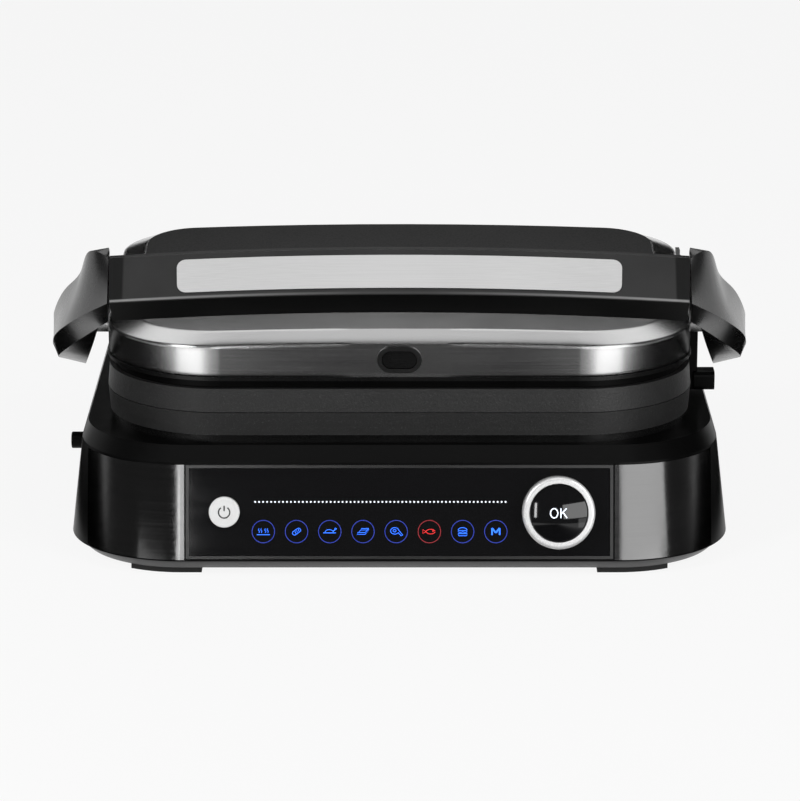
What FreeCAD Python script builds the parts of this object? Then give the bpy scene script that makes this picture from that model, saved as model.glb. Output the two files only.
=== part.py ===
"""Countertop contact grill with a floating hinged lid, built as separate pieces.

Millimetres. +X right, +Y to the rear, +Z up. The origin is on the table under the middle of the base.
"""
import FreeCAD
import Part
import math
import os

from FreeCAD import Vector as V

# Clearances and tools that every piece shares
RUN_GAP = 0.3            # free gap between pieces that move past each other
PIN_GAP = 0.05           # radial gap of a pin in its bore
SEAT_GAP = 0.1           # gap between fixed pieces that sit on each other
CUT = 6.0                # how far a cutting tool runs past the face that it cuts

# Base housing: outer plan at its lower edge, and its walls
BASE_MARGIN = 20.0       # lower edge of the base outside the plates, each side
BASE_DEPTH = 307.5
BASE_BOTTOM_Z = 9.0      # lower edge of the moulded wall
SHOULDER_Z = 62.0        # where the wall turns in to the deck
SIDE_DRAFT = 6.0         # how far each side leans in from lower edge to shoulder
REAR_DRAFT = 1.5
PANEL_TILT = 14.0        # degrees that the front wall leans back
FRONT_CORNER = 64.0
REAR_CORNER = 14.0
LEAST_CORNER = 2.0       # corner radius that an inner outline keeps
CORNER_TIGHTER = 6.0     # corner radius lost from lower edge to shoulder
BASE_WALL = 3.0
DECK_Z = 70.0            # top of the deck around the lower plate
DECK_INSET_FRONT = 7.0   # plan width of the shoulder slope
DECK_INSET_SIDE = 3.0
DECK_INSET_REAR = 2.0

# Bottom cover and feet
FOOT_HEIGHT = 3.0
FOOT_BAND_OUT = 7.0      # foot edge in from the cover outline
FOOT_BAND_WIDTH = 15.0
FOOT_REACH = 28.0        # how far a foot reaches out round the corner
FOOT_TAIL = 11.5         # and in along the straight edge
FOOT_REACH_Y = 52.0
COVER_INSET = 1.0        # cover rim inside the housing wall
COVER_CHAMFER = 6.5
COVER_WALL = 2.5
VENT_COUNT = 11
VENT_WIDTH = 3.0
VENT_PITCH = 9.0
VENT_FRONT_Y = -105.0
VENT_LENGTH = 42.0
SCREW_RADIUS = 2.0
SCREW_HEAD_RADIUS = 3.6
SCREW_HEAD = 2.0

# Grill plates
PLATE_PLANE_Z = 88.0     # where the closed plates meet; the hinge axis is at this height
PLATE_PART_GAP = 0.4     # gap between the closed plates
PLATE_WIDTH = 330.0
PLATE_FRONT_MARGIN = 22.0   # lower edge of the base in front of the plates
PLATE_REAR_MARGIN = 53.5
PLATE_CORNER = 66.0
PLATE_REAR_CORNER = 42.0
PLATE_HEIGHT = 13.0
PLATE_RECESS = 6.0       # cooking recess below the rim
PLATE_FLOOR = 4.5
PLATE_RIM = 7.0          # width of the rim around the recess
PLATE_DRAFT = 1.0        # how far the skirt leans in away from the meeting plane
RIB_HEIGHT = 2.8
RIB_WIDTH = 5.0
RIB_PITCH = 11.5
RIB_MARGIN = 16.0        # bare band between the ribs and the recess wall
DRAIN_WIDTH = 24.0
DRAIN_REACH = 12.0       # spout length behind the lower plate
DRAIN_WALL = 2.0

# Collar, reflector and element under the lower plate; the lid mirrors the same sizes
COLLAR_OUT = 3.0         # collar edge in from the plate outline
COLLAR_WIDTH = 9.0
REFLECTOR_SHEET = 0.8
REFLECTOR_DEPTH = 12.0
ELEMENT_RADIUS = 3.3
ELEMENT_SIDE_GAP = 40.0  # element in from the plate outline
ELEMENT_END_GAP = 41.0
ELEMENT_LOOPS = 2
CLIP_WIDTH = 8.0
CLIP_COUNT = 3
SENSOR_RADIUS = 5.0
SENSOR_X = 60.0

# Lid
LID_SHELL_Z = 108.3      # lower edge of the steel shell
LID_TOP_FRONT_Z = 131.5  # top of the crown at the front
LID_RISE = 11.6          # how much higher the top is at the rear
LID_CROWN = 4.0          # how much lower the top is at the sides
LID_BEVEL_OUT = 13.5
LID_BEVEL_DOWN = 4.4
LID_SHEET = 1.5
LID_INSET = 0.6          # shell outline inside the plate outline
TRIM_HEIGHT = 2.2        # black trim ring under the shell
LID_BASE_INSET = 4.0     # recessed band between trim and upper plate
TOP_PANEL_FRONT_Y = -16.0
TOP_PANEL_SIDE_GAP = 1.5
TOP_PANEL_THICK = 1.2

# Handle bar, inlay and arms
BAR_END_GAP = 6.0        # bar end in from the lid's side
BAR_NOSE_REACH = 10.0    # bar nose in front of the lid's front
BAR_TOP_Z = 178.6
BAR_NOSE_DROP = 21.0     # nose below the bar's top
BAR_HEIGHT = 33.2
BAR_LEAN = 18.0          # plan distance from the nose back to the top edge
BAR_UNDERCUT = 9.0       # plan distance from the nose back to the lower edge
BAR_DEPTH = 27.0
BAR_ARCH = 5.0           # how much lower the bar is at its ends
BAR_BACK_THICK = 3.0
INLAY_LENGTH = 243.5
INLAY_HEIGHT = 20.0
INLAY_THICK = 0.8
INLAY_CORNER = 5.0
ARM_WIDTH = 23.5         # widest point of the arms outside the hinge posts
ARM_EYE_RADIUS = 10.0
PIVOT_Y = -46.0          # pins that carry the lid in the arms
PIVOT_Z = 117.5
PIVOT_RADIUS = 5.0
PIVOT_REACH = 22.0       # pin length from the lid side into the arm

# Hinge
HINGE_REAR_GAP = 23.5    # hinge axis in front of the base's rear edge
HINGE_TRAVEL = 11.0
HINGE_PIN_RADIUS = 5.0
POST_GAP = 2.0           # posts outside the plates
POST_WIDTH = 8.5
POST_DEPTH = 30.0
POST_CAP = 4.0           # post wall above and below the slider window
POST_CORNER = 7.0        # outer rear corner, inside the corner of the deck
POST_EDGE = 2.0
SLIDER_DEPTH = 16.0
SLIDER_HEIGHT = 14.0
LEVER_THICK = 2.4
LEVER_RISE = 14.0        # thumb tab above the post
LEVER_LENGTH = 16.0
LEVER_GAP_X = 1.5

# Control panel and what sits on it
PANEL_WIDTH = 232.0
PANEL_MARGIN = 1.5       # panel frame from the wall's lower edge and shoulder
FRAME_WIDTH = 1.6
FRAME_PROUD = 0.8
FASCIA_THICK = 0.7
FASCIA_SIDE_GAP = 11.0   # end of the steel wrap in from the base's side
FASCIA_MARGIN = 1.0
CARRIER_THICK = 3.0
DIAL_X = 87.5
DIAL_RADIUS = 20.0
DIAL_RING_WIDTH = 3.7
DIAL_PROUD = 10.0
DIAL_WEB = 2.0
DIAL_EDGE = 1.8
BUSH_RADIUS = 6.0
STEM_RADIUS = 3.0
OK_PROUD = 10.5
OK_THICK = 5.0
OK_DOME = 2.0
OK_TRAVEL = 1.2
POWER_X = -96.5
POWER_RADIUS = 8.5
POWER_PROUD = 2.0
POWER_TRAVEL = 1.0
ICON_COUNT = 8
ICON_PITCH = 18.3
ICON_FIRST_X = -75.0
ICON_RADIUS = 5.4
ICON_DROP = 10.8         # icon row below the panel's middle
DOT_RISE = 5.6           # dotted line above the panel's middle
DOT_SPAN = 140.0
DOT_HEIGHT = 3.0
BOARD_THICK = 1.6
BOARD_GAP = 5.0          # standoff between carrier and control board

# Release button, knob and latch
RELEASE_LENGTH = 19.5
RELEASE_HEIGHT = 10.0
RELEASE_RIM = 2.4
RELEASE_PROUD = 1.3
RELEASE_Z = 118.2
RELEASE_TRAVEL = 3.0
RELEASE_STEM = 14.0
GUIDE_DEPTH = 4.0
KNOB_Y = 0.0
KNOB_Z = 34.3
KNOB_RADIUS = 4.9
KNOB_PROUD = 10.4
KNOB_TRAVEL = 4.0
KNOB_STEM = 22.0
KNOB_FLANGE = 1.6
KNOB_FLANGE_GAP = 0.9    # clears the lean of the wall
SPRING_WIRE = 0.5
SPRING_TURNS = 5
LATCH_Y = -20.0
LATCH_PIVOT_Z = 117.5
LATCH_THICK = 5.0
LATCH_BLOCK = 9.0        # width of the finger block, outside the neck
LATCH_BLOCK_GAP = 8.0    # block outside the plates
LATCH_LENGTH = 14.0
LATCH_HEIGHT = 11.0
LATCH_NECK = 8.0
LATCH_X_GAP = 2.0
LATCH_PIN_RADIUS = 2.5

# Drip tray, boards, gland
TRAY_WIDTH = 170.0
TRAY_DEPTH = 130.0
TRAY_HEIGHT = 18.0
TRAY_WALL = 1.6
TRAY_Z = 13.0
TRAY_LIP = 6.0
RAIL_WIDTH = 6.0
POWER_BOARD_SIDE_GAP = 67.0   # board's middle in from the base's side
POWER_BOARD_WIDTH = 52.0
POWER_BOARD_DEPTH = 90.0
POWER_BOARD_Z = 20.0
GLAND_SIDE_GAP = 65.0
GLAND_Z = 30.0
GLAND_RADIUS = 8.0
GLAND_BORE = 3.6
GLAND_LENGTH = 14.0

# Values worked out from the sizes above
TILT = math.radians(PANEL_TILT)
FRONT_DRAFT = (SHOULDER_Z - BASE_BOTTOM_Z) * math.tan(TILT)
DIAL_REACH = ((DIAL_PROUD - DIAL_EDGE) * math.cos(TILT) + (DIAL_RADIUS - DIAL_EDGE) * math.sin(TILT)
              + DIAL_EDGE - FRONT_DRAFT / 2)     # how far the dial stands out in front of the base
FRONT_Y = -(BASE_DEPTH - DIAL_REACH) / 2
REAR_Y = FRONT_Y + BASE_DEPTH
BASE_WIDTH = PLATE_WIDTH + 2 * BASE_MARGIN
PLATE_FRONT_Y = FRONT_Y + PLATE_FRONT_MARGIN
PLATE_REAR_Y = REAR_Y - PLATE_REAR_MARGIN
ELEMENT_SPAN = PLATE_WIDTH - 2 * ELEMENT_SIDE_GAP
ELEMENT_DEPTH = PLATE_REAR_Y - PLATE_FRONT_Y - 2 * ELEMENT_END_GAP
BAR_LENGTH = PLATE_WIDTH - 2 * BAR_END_GAP
BAR_NOSE_Z = BAR_TOP_Z - BAR_NOSE_DROP
BAR_BOTTOM_Z = BAR_TOP_Z - BAR_HEIGHT
FASCIA_SIDE_X = BASE_WIDTH / 2 - FASCIA_SIDE_GAP
POWER_BOARD_X = BASE_WIDTH / 2 - POWER_BOARD_SIDE_GAP
GLAND_X = GLAND_SIDE_GAP - BASE_WIDTH / 2
BAR_NOSE_Y = PLATE_FRONT_Y - BAR_NOSE_REACH
POST_INNER_X = PLATE_WIDTH / 2 + POST_GAP
POST_OUTER_X = POST_INNER_X + POST_WIDTH
ARM_OUT_X = POST_OUTER_X + ARM_WIDTH
HINGE_Y = REAR_Y - HINGE_REAR_GAP
SLOPE_LENGTH = (SHOULDER_Z - BASE_BOTTOM_Z) / math.cos(TILT)
PANEL_HEIGHT = SLOPE_LENGTH - 2 * (PANEL_MARGIN + FRAME_WIDTH)
LOWER_RIM_Z = PLATE_PLANE_Z - PLATE_PART_GAP / 2
LOWER_SKIRT_Z = LOWER_RIM_Z - PLATE_HEIGHT
LOWER_FLOOR_Z = LOWER_RIM_Z - PLATE_RECESS - PLATE_FLOOR
HINGE_AXIS_Z = PLATE_PLANE_Z
BOTTOM_FLOOR_Z = FOOT_HEIGHT + COVER_WALL


def box(x0, x1, y0, y1, z0, z1):
    return Part.makeBox(x1 - x0, y1 - y0, z1 - z0, V(x0, y0, z0))


def rod(radius, start, end):
    start = V(*start)
    run = V(*end) - start
    return Part.makeCylinder(radius, run.Length, start, run)


def plan_wire(half, front, rear, r_front, r_rear, z):
    """Rounded plan outline at height z: straight sides joined by corner arcs."""
    bend = math.sqrt(0.5)

    def corner(sx, y, sy, r):
        centre = V(sx * (half - r), y - sy * r, z)
        side = centre + V(sx * r, 0, 0)
        middle = centre + V(sx * r * bend, sy * r * bend, 0)
        end = centre + V(0, sy * r, 0)
        return side, middle, end

    a = corner(-1, front, -1, r_front)
    b = corner(1, front, -1, r_front)
    c = corner(1, rear, 1, r_rear)
    d = corner(-1, rear, 1, r_rear)
    edges = [
        Part.Arc(a[0], a[1], a[2]).toShape(),
        Part.LineSegment(a[2], b[2]).toShape(),
        Part.Arc(b[2], b[1], b[0]).toShape(),
        Part.LineSegment(b[0], c[0]).toShape(),
        Part.Arc(c[0], c[1], c[2]).toShape(),
        Part.LineSegment(c[2], d[2]).toShape(),
        Part.Arc(d[2], d[1], d[0]).toShape(),
        Part.LineSegment(d[0], a[0]).toShape(),
    ]
    return Part.Wire(edges)


def loft(*wires):
    return Part.makeLoft(list(wires), True, True)


def slab(wire, height):
    return Part.Face(wire).extrude(V(0, 0, height))


def fused(shapes):
    shapes = list(shapes)
    if len(shapes) == 1:
        return shapes[0]
    return shapes[0].multiFuse(shapes[1:]).removeSplitter()


def group(shapes):
    return Part.makeCompound(list(shapes))


def on_panel(shape):
    """Moves a shape from panel axes (x right, y up the slope, z out) to its place on the front wall."""
    middle_z = (BASE_BOTTOM_Z + SHOULDER_Z) / 2
    middle_y = FRONT_Y + FRONT_DRAFT / 2
    turn = FreeCAD.Rotation(V(1, 0, 0), 90 - PANEL_TILT)
    moved = shape.copy()
    moved.Placement = FreeCAD.Placement(V(0, middle_y, middle_z), turn)
    return moved


def mirrored(shape):
    return shape.mirror(V(0, 0, 0), V(1, 0, 0))


# Outlines

def wall_plan(inset=0.0, z=BASE_BOTTOM_Z):
    """Housing outline at a height between the lower edge and the shoulder, moved in by inset."""
    share = (z - BASE_BOTTOM_Z) / (SHOULDER_Z - BASE_BOTTOM_Z)
    return plan_wire(
        BASE_WIDTH / 2 - share * SIDE_DRAFT - inset,
        FRONT_Y + share * FRONT_DRAFT + inset,
        REAR_Y - share * REAR_DRAFT - inset,
        FRONT_CORNER - share * CORNER_TIGHTER - inset,
        max(REAR_CORNER - inset, LEAST_CORNER),
        z,
    )


def deck_plan(inset=0.0, z=DECK_Z):
    """Outline of the deck at the top of the shoulder slope."""
    return plan_wire(
        BASE_WIDTH / 2 - SIDE_DRAFT - DECK_INSET_SIDE - inset,
        FRONT_Y + FRONT_DRAFT + DECK_INSET_FRONT + inset,
        REAR_Y - REAR_DRAFT - DECK_INSET_REAR - inset,
        FRONT_CORNER - CORNER_TIGHTER - inset,
        REAR_CORNER - inset,
        z,
    )


def plate_plan(inset, z):
    """Outline of a grill plate or of the lid over it, moved in by inset."""
    return plan_wire(
        PLATE_WIDTH / 2 - inset,
        PLATE_FRONT_Y + inset,
        PLATE_REAR_Y - inset,
        PLATE_CORNER - inset,
        PLATE_REAR_CORNER - inset,
        z,
    )


# Base

def housing_block(grow=0.0):
    """Outer body of the base, moved out by grow."""
    return fused([
        loft(wall_plan(-grow), wall_plan(-grow, SHOULDER_Z)),
        loft(wall_plan(-grow, SHOULDER_Z), deck_plan(-grow)),
    ])


def base_housing():
    inside = fused([
        loft(wall_plan(BASE_WALL), wall_plan(BASE_WALL, SHOULDER_Z)),
        loft(wall_plan(BASE_WALL, SHOULDER_Z), deck_plan(BASE_WALL, DECK_Z - BASE_WALL)),
    ])
    well = slab(plate_plan(COLLAR_OUT + COLLAR_WIDTH / 2, SHOULDER_Z - CUT), DECK_Z - SHOULDER_Z + 2 * CUT)
    window = on_panel(box(
        -PANEL_WIDTH / 2 - SEAT_GAP, PANEL_WIDTH / 2 + SEAT_GAP,
        -PANEL_HEIGHT / 2 - SEAT_GAP, PANEL_HEIGHT / 2 + SEAT_GAP, -BASE_WALL - CUT, CUT,
    ))
    tray_slot = box(
        -TRAY_WIDTH / 2 - RUN_GAP, TRAY_WIDTH / 2 + RUN_GAP, REAR_Y - REAR_CORNER, REAR_Y + CUT,
        TRAY_Z - RUN_GAP, TRAY_Z + TRAY_HEIGHT + RUN_GAP,
    )
    knob_hole = rod(KNOB_RADIUS + RUN_GAP, (-BASE_WIDTH / 2 - CUT, KNOB_Y, KNOB_Z),
                    (-BASE_WIDTH / 2 + BASE_WALL + SIDE_DRAFT + CUT, KNOB_Y, KNOB_Z))
    gland_hole = rod(GLAND_RADIUS + SEAT_GAP, (GLAND_X, REAR_Y + CUT, GLAND_Z),
                     (GLAND_X, REAR_Y - BASE_WALL - CUT, GLAND_Z))
    drain_hole = box(
        -DRAIN_WIDTH / 2, DRAIN_WIDTH / 2, PLATE_REAR_Y, PLATE_REAR_Y + DRAIN_REACH + DRAIN_WALL,
        SHOULDER_Z, DECK_Z + CUT,
    )
    shell = housing_block().cut(inside)
    return shell.cut(fused([well])).cut(group([window, tray_slot, knob_hole, gland_hole, drain_hole]))


def bottom_cover():
    """Tray that closes the base from below, with the drip tray's rails and the power board's bosses."""
    low = wall_plan(COVER_INSET + COVER_CHAMFER)
    low.translate(V(0, 0, FOOT_HEIGHT - BASE_BOTTOM_Z))
    outer = loft(low, wall_plan(COVER_INSET))
    pocket = slab(wall_plan(COVER_INSET + COVER_CHAMFER + COVER_WALL), BASE_BOTTOM_Z - FOOT_HEIGHT)
    pocket.translate(V(0, 0, BOTTOM_FLOOR_Z - BASE_BOTTOM_Z))
    rail_x = TRAY_WIDTH / 2 - RAIL_WIDTH
    rails = [
        box(side * rail_x - RAIL_WIDTH / 2, side * rail_x + RAIL_WIDTH / 2,
            REAR_Y - TRAY_DEPTH, REAR_Y - REAR_CORNER, BOTTOM_FLOOR_Z, TRAY_Z - SEAT_GAP)
        for side in (-1, 1)
    ]
    bosses = [
        rod(SCREW_HEAD_RADIUS, (POWER_BOARD_X + dx, dy, BOTTOM_FLOOR_Z),
            (POWER_BOARD_X + dx, dy, POWER_BOARD_Z))
        for dx in (-POWER_BOARD_WIDTH / 3, POWER_BOARD_WIDTH / 3)
        for dy in (-POWER_BOARD_DEPTH / 3, POWER_BOARD_DEPTH / 3)
    ]
    first = -(VENT_COUNT - 1) / 2 * VENT_PITCH
    vents = group(
        box(first + i * VENT_PITCH - VENT_WIDTH / 2, first + i * VENT_PITCH + VENT_WIDTH / 2, VENT_FRONT_Y,
            VENT_FRONT_Y + VENT_LENGTH, FOOT_HEIGHT - CUT, BOTTOM_FLOOR_Z + CUT)
        for i in range(VENT_COUNT)
    )
    return fused([outer.cut(pocket).cut(vents)] + rails + bosses)


def foot_band(inset, width, low, high):
    outer = slab(wall_plan(inset, BASE_BOTTOM_Z), high - low)
    inner = slab(wall_plan(inset + width, BASE_BOTTOM_Z), high - low)
    band = outer.cut(inner)
    band.translate(V(0, 0, low - BASE_BOTTOM_Z))
    return band


def rubber_feet():
    """Four pads that follow the corners of the bottom cover."""
    band = foot_band(COVER_INSET + FOOT_BAND_OUT, FOOT_BAND_WIDTH, 0, FOOT_HEIGHT)
    half = BASE_WIDTH / 2
    feet = []
    for side in (-1, 1):
        inner = side * (half - FRONT_CORNER - FOOT_TAIL)
        outer = side * (half - FRONT_CORNER + FOOT_REACH)
        x0, x1 = sorted((inner, outer))
        feet.append(band.common(box(x0, x1, FRONT_Y, FRONT_Y + FOOT_REACH_Y, 0, FOOT_HEIGHT)))
        feet.append(band.common(box(x0, x1, REAR_Y - FOOT_REACH_Y, REAR_Y, 0, FOOT_HEIGHT)))
    return group(feet)


def cover_screws():
    """Screws that hold the bottom cover, with their heads in the feet's shadow."""
    screws = []
    for sx in (-1, 1):
        for sy in (-1, 1):
            x = sx * (BASE_WIDTH / 2 - FRONT_CORNER)
            y = sy * (BASE_DEPTH / 2 - FOOT_REACH_Y)
            head = rod(SCREW_HEAD_RADIUS, (x, y, FOOT_HEIGHT - SCREW_HEAD), (x, y, FOOT_HEIGHT))
            screws.append(head)
    return group(screws)


def side_fascia(side):
    """Steel wrap over one front corner, from the panel frame round to the side."""
    skin = loft(wall_plan(-FASCIA_THICK - SEAT_GAP), wall_plan(-FASCIA_THICK - SEAT_GAP, SHOULDER_Z))
    skin = skin.cut(loft(wall_plan(-SEAT_GAP), wall_plan(-SEAT_GAP, SHOULDER_Z)))
    near = PANEL_WIDTH / 2 + FRAME_WIDTH + FASCIA_MARGIN
    x0, x1 = sorted((side * near, side * FASCIA_SIDE_X))
    region = box(x0, x1, FRONT_Y - CUT, 0, BASE_BOTTOM_Z + FASCIA_MARGIN, SHOULDER_Z - FASCIA_MARGIN)
    return skin.common(region)


def panel_frame():
    """Thin frame that stands on the front wall around the glass."""
    half_w, half_h = PANEL_WIDTH / 2 + SEAT_GAP, PANEL_HEIGHT / 2 + SEAT_GAP
    outer = box(-half_w - FRAME_WIDTH, half_w + FRAME_WIDTH, -half_h - FRAME_WIDTH, half_h + FRAME_WIDTH,
                SEAT_GAP, FRAME_PROUD)
    return on_panel(outer.cut(box(-half_w, half_w, -half_h, half_h, -CUT, CUT)))


def control_panel():
    """Dark glass with the holes of the dial and of the power button."""
    glass = box(-PANEL_WIDTH / 2, PANEL_WIDTH / 2, -PANEL_HEIGHT / 2, PANEL_HEIGHT / 2, -BASE_WALL, 0)
    dial_hole = rod(BUSH_RADIUS + SEAT_GAP, (DIAL_X, 0, -CUT), (DIAL_X, 0, CUT))
    power_hole = rod(POWER_RADIUS + RUN_GAP, (POWER_X, 0, -CUT), (POWER_X, 0, CUT))
    return on_panel(glass.cut(dial_hole).cut(power_hole))


def icon_places():
    return [(ICON_FIRST_X + i * ICON_PITCH, -ICON_DROP) for i in range(ICON_COUNT)]


def panel_carrier():
    """Moulded board behind the glass that holds the light guides, the encoder and the switch."""
    back, front = -BASE_WALL - CARRIER_THICK, -BASE_WALL - SEAT_GAP
    half_w = PANEL_WIDTH / 2 + FRAME_WIDTH + FASCIA_MARGIN
    half_h = PANEL_HEIGHT / 2 - FRAME_WIDTH
    board = box(-half_w, half_w, -half_h, half_h, back, front)
    holes = [rod(ICON_RADIUS + SEAT_GAP, (x, y, back - CUT), (x, y, front + CUT)) for x, y in icon_places()]
    holes.append(rod(BUSH_RADIUS + SEAT_GAP, (DIAL_X, 0, back - CUT), (DIAL_X, 0, front + CUT)))
    holes.append(rod(STEM_RADIUS + RUN_GAP, (POWER_X, 0, back - CUT), (POWER_X, 0, front + CUT)))
    dot_x = icon_places()[0][0] - ICON_RADIUS
    holes.append(box(dot_x - SEAT_GAP, dot_x + DOT_SPAN + SEAT_GAP, DOT_RISE - DOT_HEIGHT / 2 - SEAT_GAP,
                     DOT_RISE + DOT_HEIGHT / 2 + SEAT_GAP, back - CUT, front + CUT))
    legs = [
        rod(SCREW_HEAD_RADIUS, (x, half_h - SCREW_HEAD_RADIUS, back),
            (x, half_h - SCREW_HEAD_RADIUS, back - BOARD_GAP))
        for x in (-half_w / 2, 0, half_w / 2)
    ]
    return on_panel(fused([board.cut(group(holes))] + legs))


def mode_light_guides():
    back, front = -BASE_WALL - CARRIER_THICK, -BASE_WALL - SEAT_GAP
    return group(on_panel(rod(ICON_RADIUS, (x, y, back), (x, y, front))) for x, y in icon_places())


def dot_light_bar():
    back, front = -BASE_WALL - CARRIER_THICK, -BASE_WALL - SEAT_GAP
    x = icon_places()[0][0] - ICON_RADIUS
    return on_panel(box(x, x + DOT_SPAN, DOT_RISE - DOT_HEIGHT / 2, DOT_RISE + DOT_HEIGHT / 2, back, front))


def control_board():
    back = -BASE_WALL - CARRIER_THICK - BOARD_GAP
    half_w, half_h = PANEL_WIDTH / 2 - CARRIER_THICK, PANEL_HEIGHT / 2 - CARRIER_THICK
    board = box(-half_w, half_w, -half_h, half_h, back - BOARD_THICK, back)
    lamps = [box(x - STEM_RADIUS, x + STEM_RADIUS, y - STEM_RADIUS, y + STEM_RADIUS, back, back + BOARD_THICK)
             for x, y in icon_places()]
    return on_panel(fused([board] + lamps))


def dial_encoder():
    """Rotary encoder: its bush carries the dial ring, and its bore takes the stem of the OK button."""
    back = -BASE_WALL - CARRIER_THICK
    bush = rod(BUSH_RADIUS, (DIAL_X, 0, back), (DIAL_X, 0, DIAL_WEB + SEAT_GAP))
    body = box(DIAL_X - 2 * BUSH_RADIUS, DIAL_X + 2 * BUSH_RADIUS, -2 * BUSH_RADIUS, 2 * BUSH_RADIUS,
               back - BOARD_GAP + SEAT_GAP, back)
    bore = rod(STEM_RADIUS + RUN_GAP, (DIAL_X, 0, back - OK_TRAVEL), (DIAL_X, 0, CUT))
    return on_panel(fused([bush, body]).cut(bore))


def power_switch():
    back = -BASE_WALL - CARRIER_THICK
    return on_panel(box(POWER_X - STEM_RADIUS, POWER_X + STEM_RADIUS, -STEM_RADIUS, STEM_RADIUS,
                        back - BOARD_GAP, back - POWER_TRAVEL - SEAT_GAP))


def dial_ring():
    """Knurl-free turning ring with a web that runs on the encoder bush."""
    ring = rod(DIAL_RADIUS, (DIAL_X, 0, RUN_GAP), (DIAL_X, 0, DIAL_PROUD))
    front_edges = [e for e in ring.Edges if abs(e.BoundBox.ZMin - DIAL_PROUD) < SEAT_GAP]
    ring = ring.makeFillet(DIAL_EDGE, front_edges)
    well = rod(DIAL_RADIUS - DIAL_RING_WIDTH, (DIAL_X, 0, RUN_GAP + DIAL_WEB), (DIAL_X, 0, DIAL_PROUD + CUT))
    bore = rod(BUSH_RADIUS + PIN_GAP, (DIAL_X, 0, -CUT), (DIAL_X, 0, CUT))
    return on_panel(ring.cut(well).cut(bore))


def ok_button():
    """Domed centre of the dial, pressed against the encoder through its stem."""
    radius = DIAL_RADIUS - DIAL_RING_WIDTH - RUN_GAP
    sphere_radius = (radius ** 2 + OK_DOME ** 2) / (2 * OK_DOME)
    cap = rod(radius, (DIAL_X, 0, OK_PROUD - OK_THICK), (DIAL_X, 0, OK_PROUD + CUT))
    dome = Part.makeSphere(sphere_radius, V(DIAL_X, 0, OK_PROUD - sphere_radius))
    stem = rod(STEM_RADIUS, (DIAL_X, 0, -BASE_WALL), (DIAL_X, 0, OK_PROUD - OK_THICK))
    return on_panel(fused([cap.common(dome), stem]))


def power_button():
    back = -BASE_WALL - CARRIER_THICK
    cap = rod(POWER_RADIUS, (POWER_X, 0, -BASE_WALL + POWER_TRAVEL + SEAT_GAP), (POWER_X, 0, POWER_PROUD))
    edges = [e for e in cap.Edges if abs(e.BoundBox.ZMin - POWER_PROUD) < SEAT_GAP]
    cap = cap.makeFillet(POWER_PROUD / 4, edges)
    stem = rod(STEM_RADIUS, (POWER_X, 0, back), (POWER_X, 0, -BASE_WALL + POWER_TRAVEL + SEAT_GAP))
    return on_panel(fused([cap, stem]))


# Grill plates and what heats them

def plate_ribs(floor_z):
    """Cooking ribs that run front to back, trimmed to the recess."""
    field = slab(plate_plan(PLATE_RIM + RIB_MARGIN, floor_z), RIB_HEIGHT)
    reach = PLATE_WIDTH / 2 - PLATE_RIM - RIB_MARGIN
    count = int(reach // RIB_PITCH)
    bars = [
        box(i * RIB_PITCH - RIB_WIDTH / 2, i * RIB_PITCH + RIB_WIDTH / 2,
            PLATE_FRONT_Y, PLATE_REAR_Y, floor_z, floor_z + RIB_HEIGHT)
        for i in range(-count, count + 1)
    ]
    return group(bars).common(field).Solids


def plate_dish():
    """Lower plate before its spout: skirt, recess, floor and ribs, with its rim at the top."""
    body = loft(plate_plan(PLATE_DRAFT, LOWER_SKIRT_Z), plate_plan(0, LOWER_RIM_Z))
    recess_z = LOWER_RIM_Z - PLATE_RECESS
    recess = slab(plate_plan(PLATE_RIM, recess_z), PLATE_RECESS + CUT)
    pocket = slab(plate_plan(PLATE_RIM + PLATE_DRAFT, LOWER_SKIRT_Z - CUT), LOWER_FLOOR_Z - LOWER_SKIRT_Z + CUT)
    return fused([body.cut(recess).cut(pocket)] + plate_ribs(recess_z))


def lower_plate():
    """Lower grill plate with a spout behind it that drains over the deck's hole."""
    half = DRAIN_WIDTH / 2 - DRAIN_WALL
    inner_y = PLATE_REAR_Y - PLATE_RIM
    spout = box(-half, half, inner_y, PLATE_REAR_Y + DRAIN_REACH, LOWER_SKIRT_Z, LOWER_RIM_Z)
    channel = box(-half + DRAIN_WALL, half - DRAIN_WALL, inner_y - DRAIN_WALL,
                  PLATE_REAR_Y + DRAIN_REACH + CUT, LOWER_RIM_Z - PLATE_RECESS, LOWER_RIM_Z + CUT)
    return fused([plate_dish(), spout]).cut(channel)


def upper(shape):
    """The same piece above the meeting plane."""
    return shape.mirror(V(0, 0, PLATE_PLANE_Z), V(0, 0, 1))


def plate_collar():
    ring = slab(plate_plan(COLLAR_OUT, DECK_Z), LOWER_SKIRT_Z - SEAT_GAP - DECK_Z)
    return ring.cut(slab(plate_plan(COLLAR_OUT + COLLAR_WIDTH, DECK_Z - CUT), PLATE_HEIGHT + 2 * CUT))


def reflector():
    inset = COLLAR_OUT + COLLAR_WIDTH + SEAT_GAP
    low = LOWER_SKIRT_Z - REFLECTOR_DEPTH
    tray = slab(plate_plan(inset, low), REFLECTOR_DEPTH - SEAT_GAP)
    return tray.cut(slab(plate_plan(inset + REFLECTOR_SHEET, low + REFLECTOR_SHEET), REFLECTOR_DEPTH + CUT))


def element_runs():
    """Y of each straight run of the element, and the height of its middle."""
    runs = 2 * ELEMENT_LOOPS
    step = ELEMENT_DEPTH / (runs - 1)
    middle = (PLATE_FRONT_Y + PLATE_REAR_Y) / 2
    ys = [middle - ELEMENT_DEPTH / 2 + i * step for i in range(runs)]
    return ys, LOWER_FLOOR_Z - ELEMENT_RADIUS - SEAT_GAP


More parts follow.
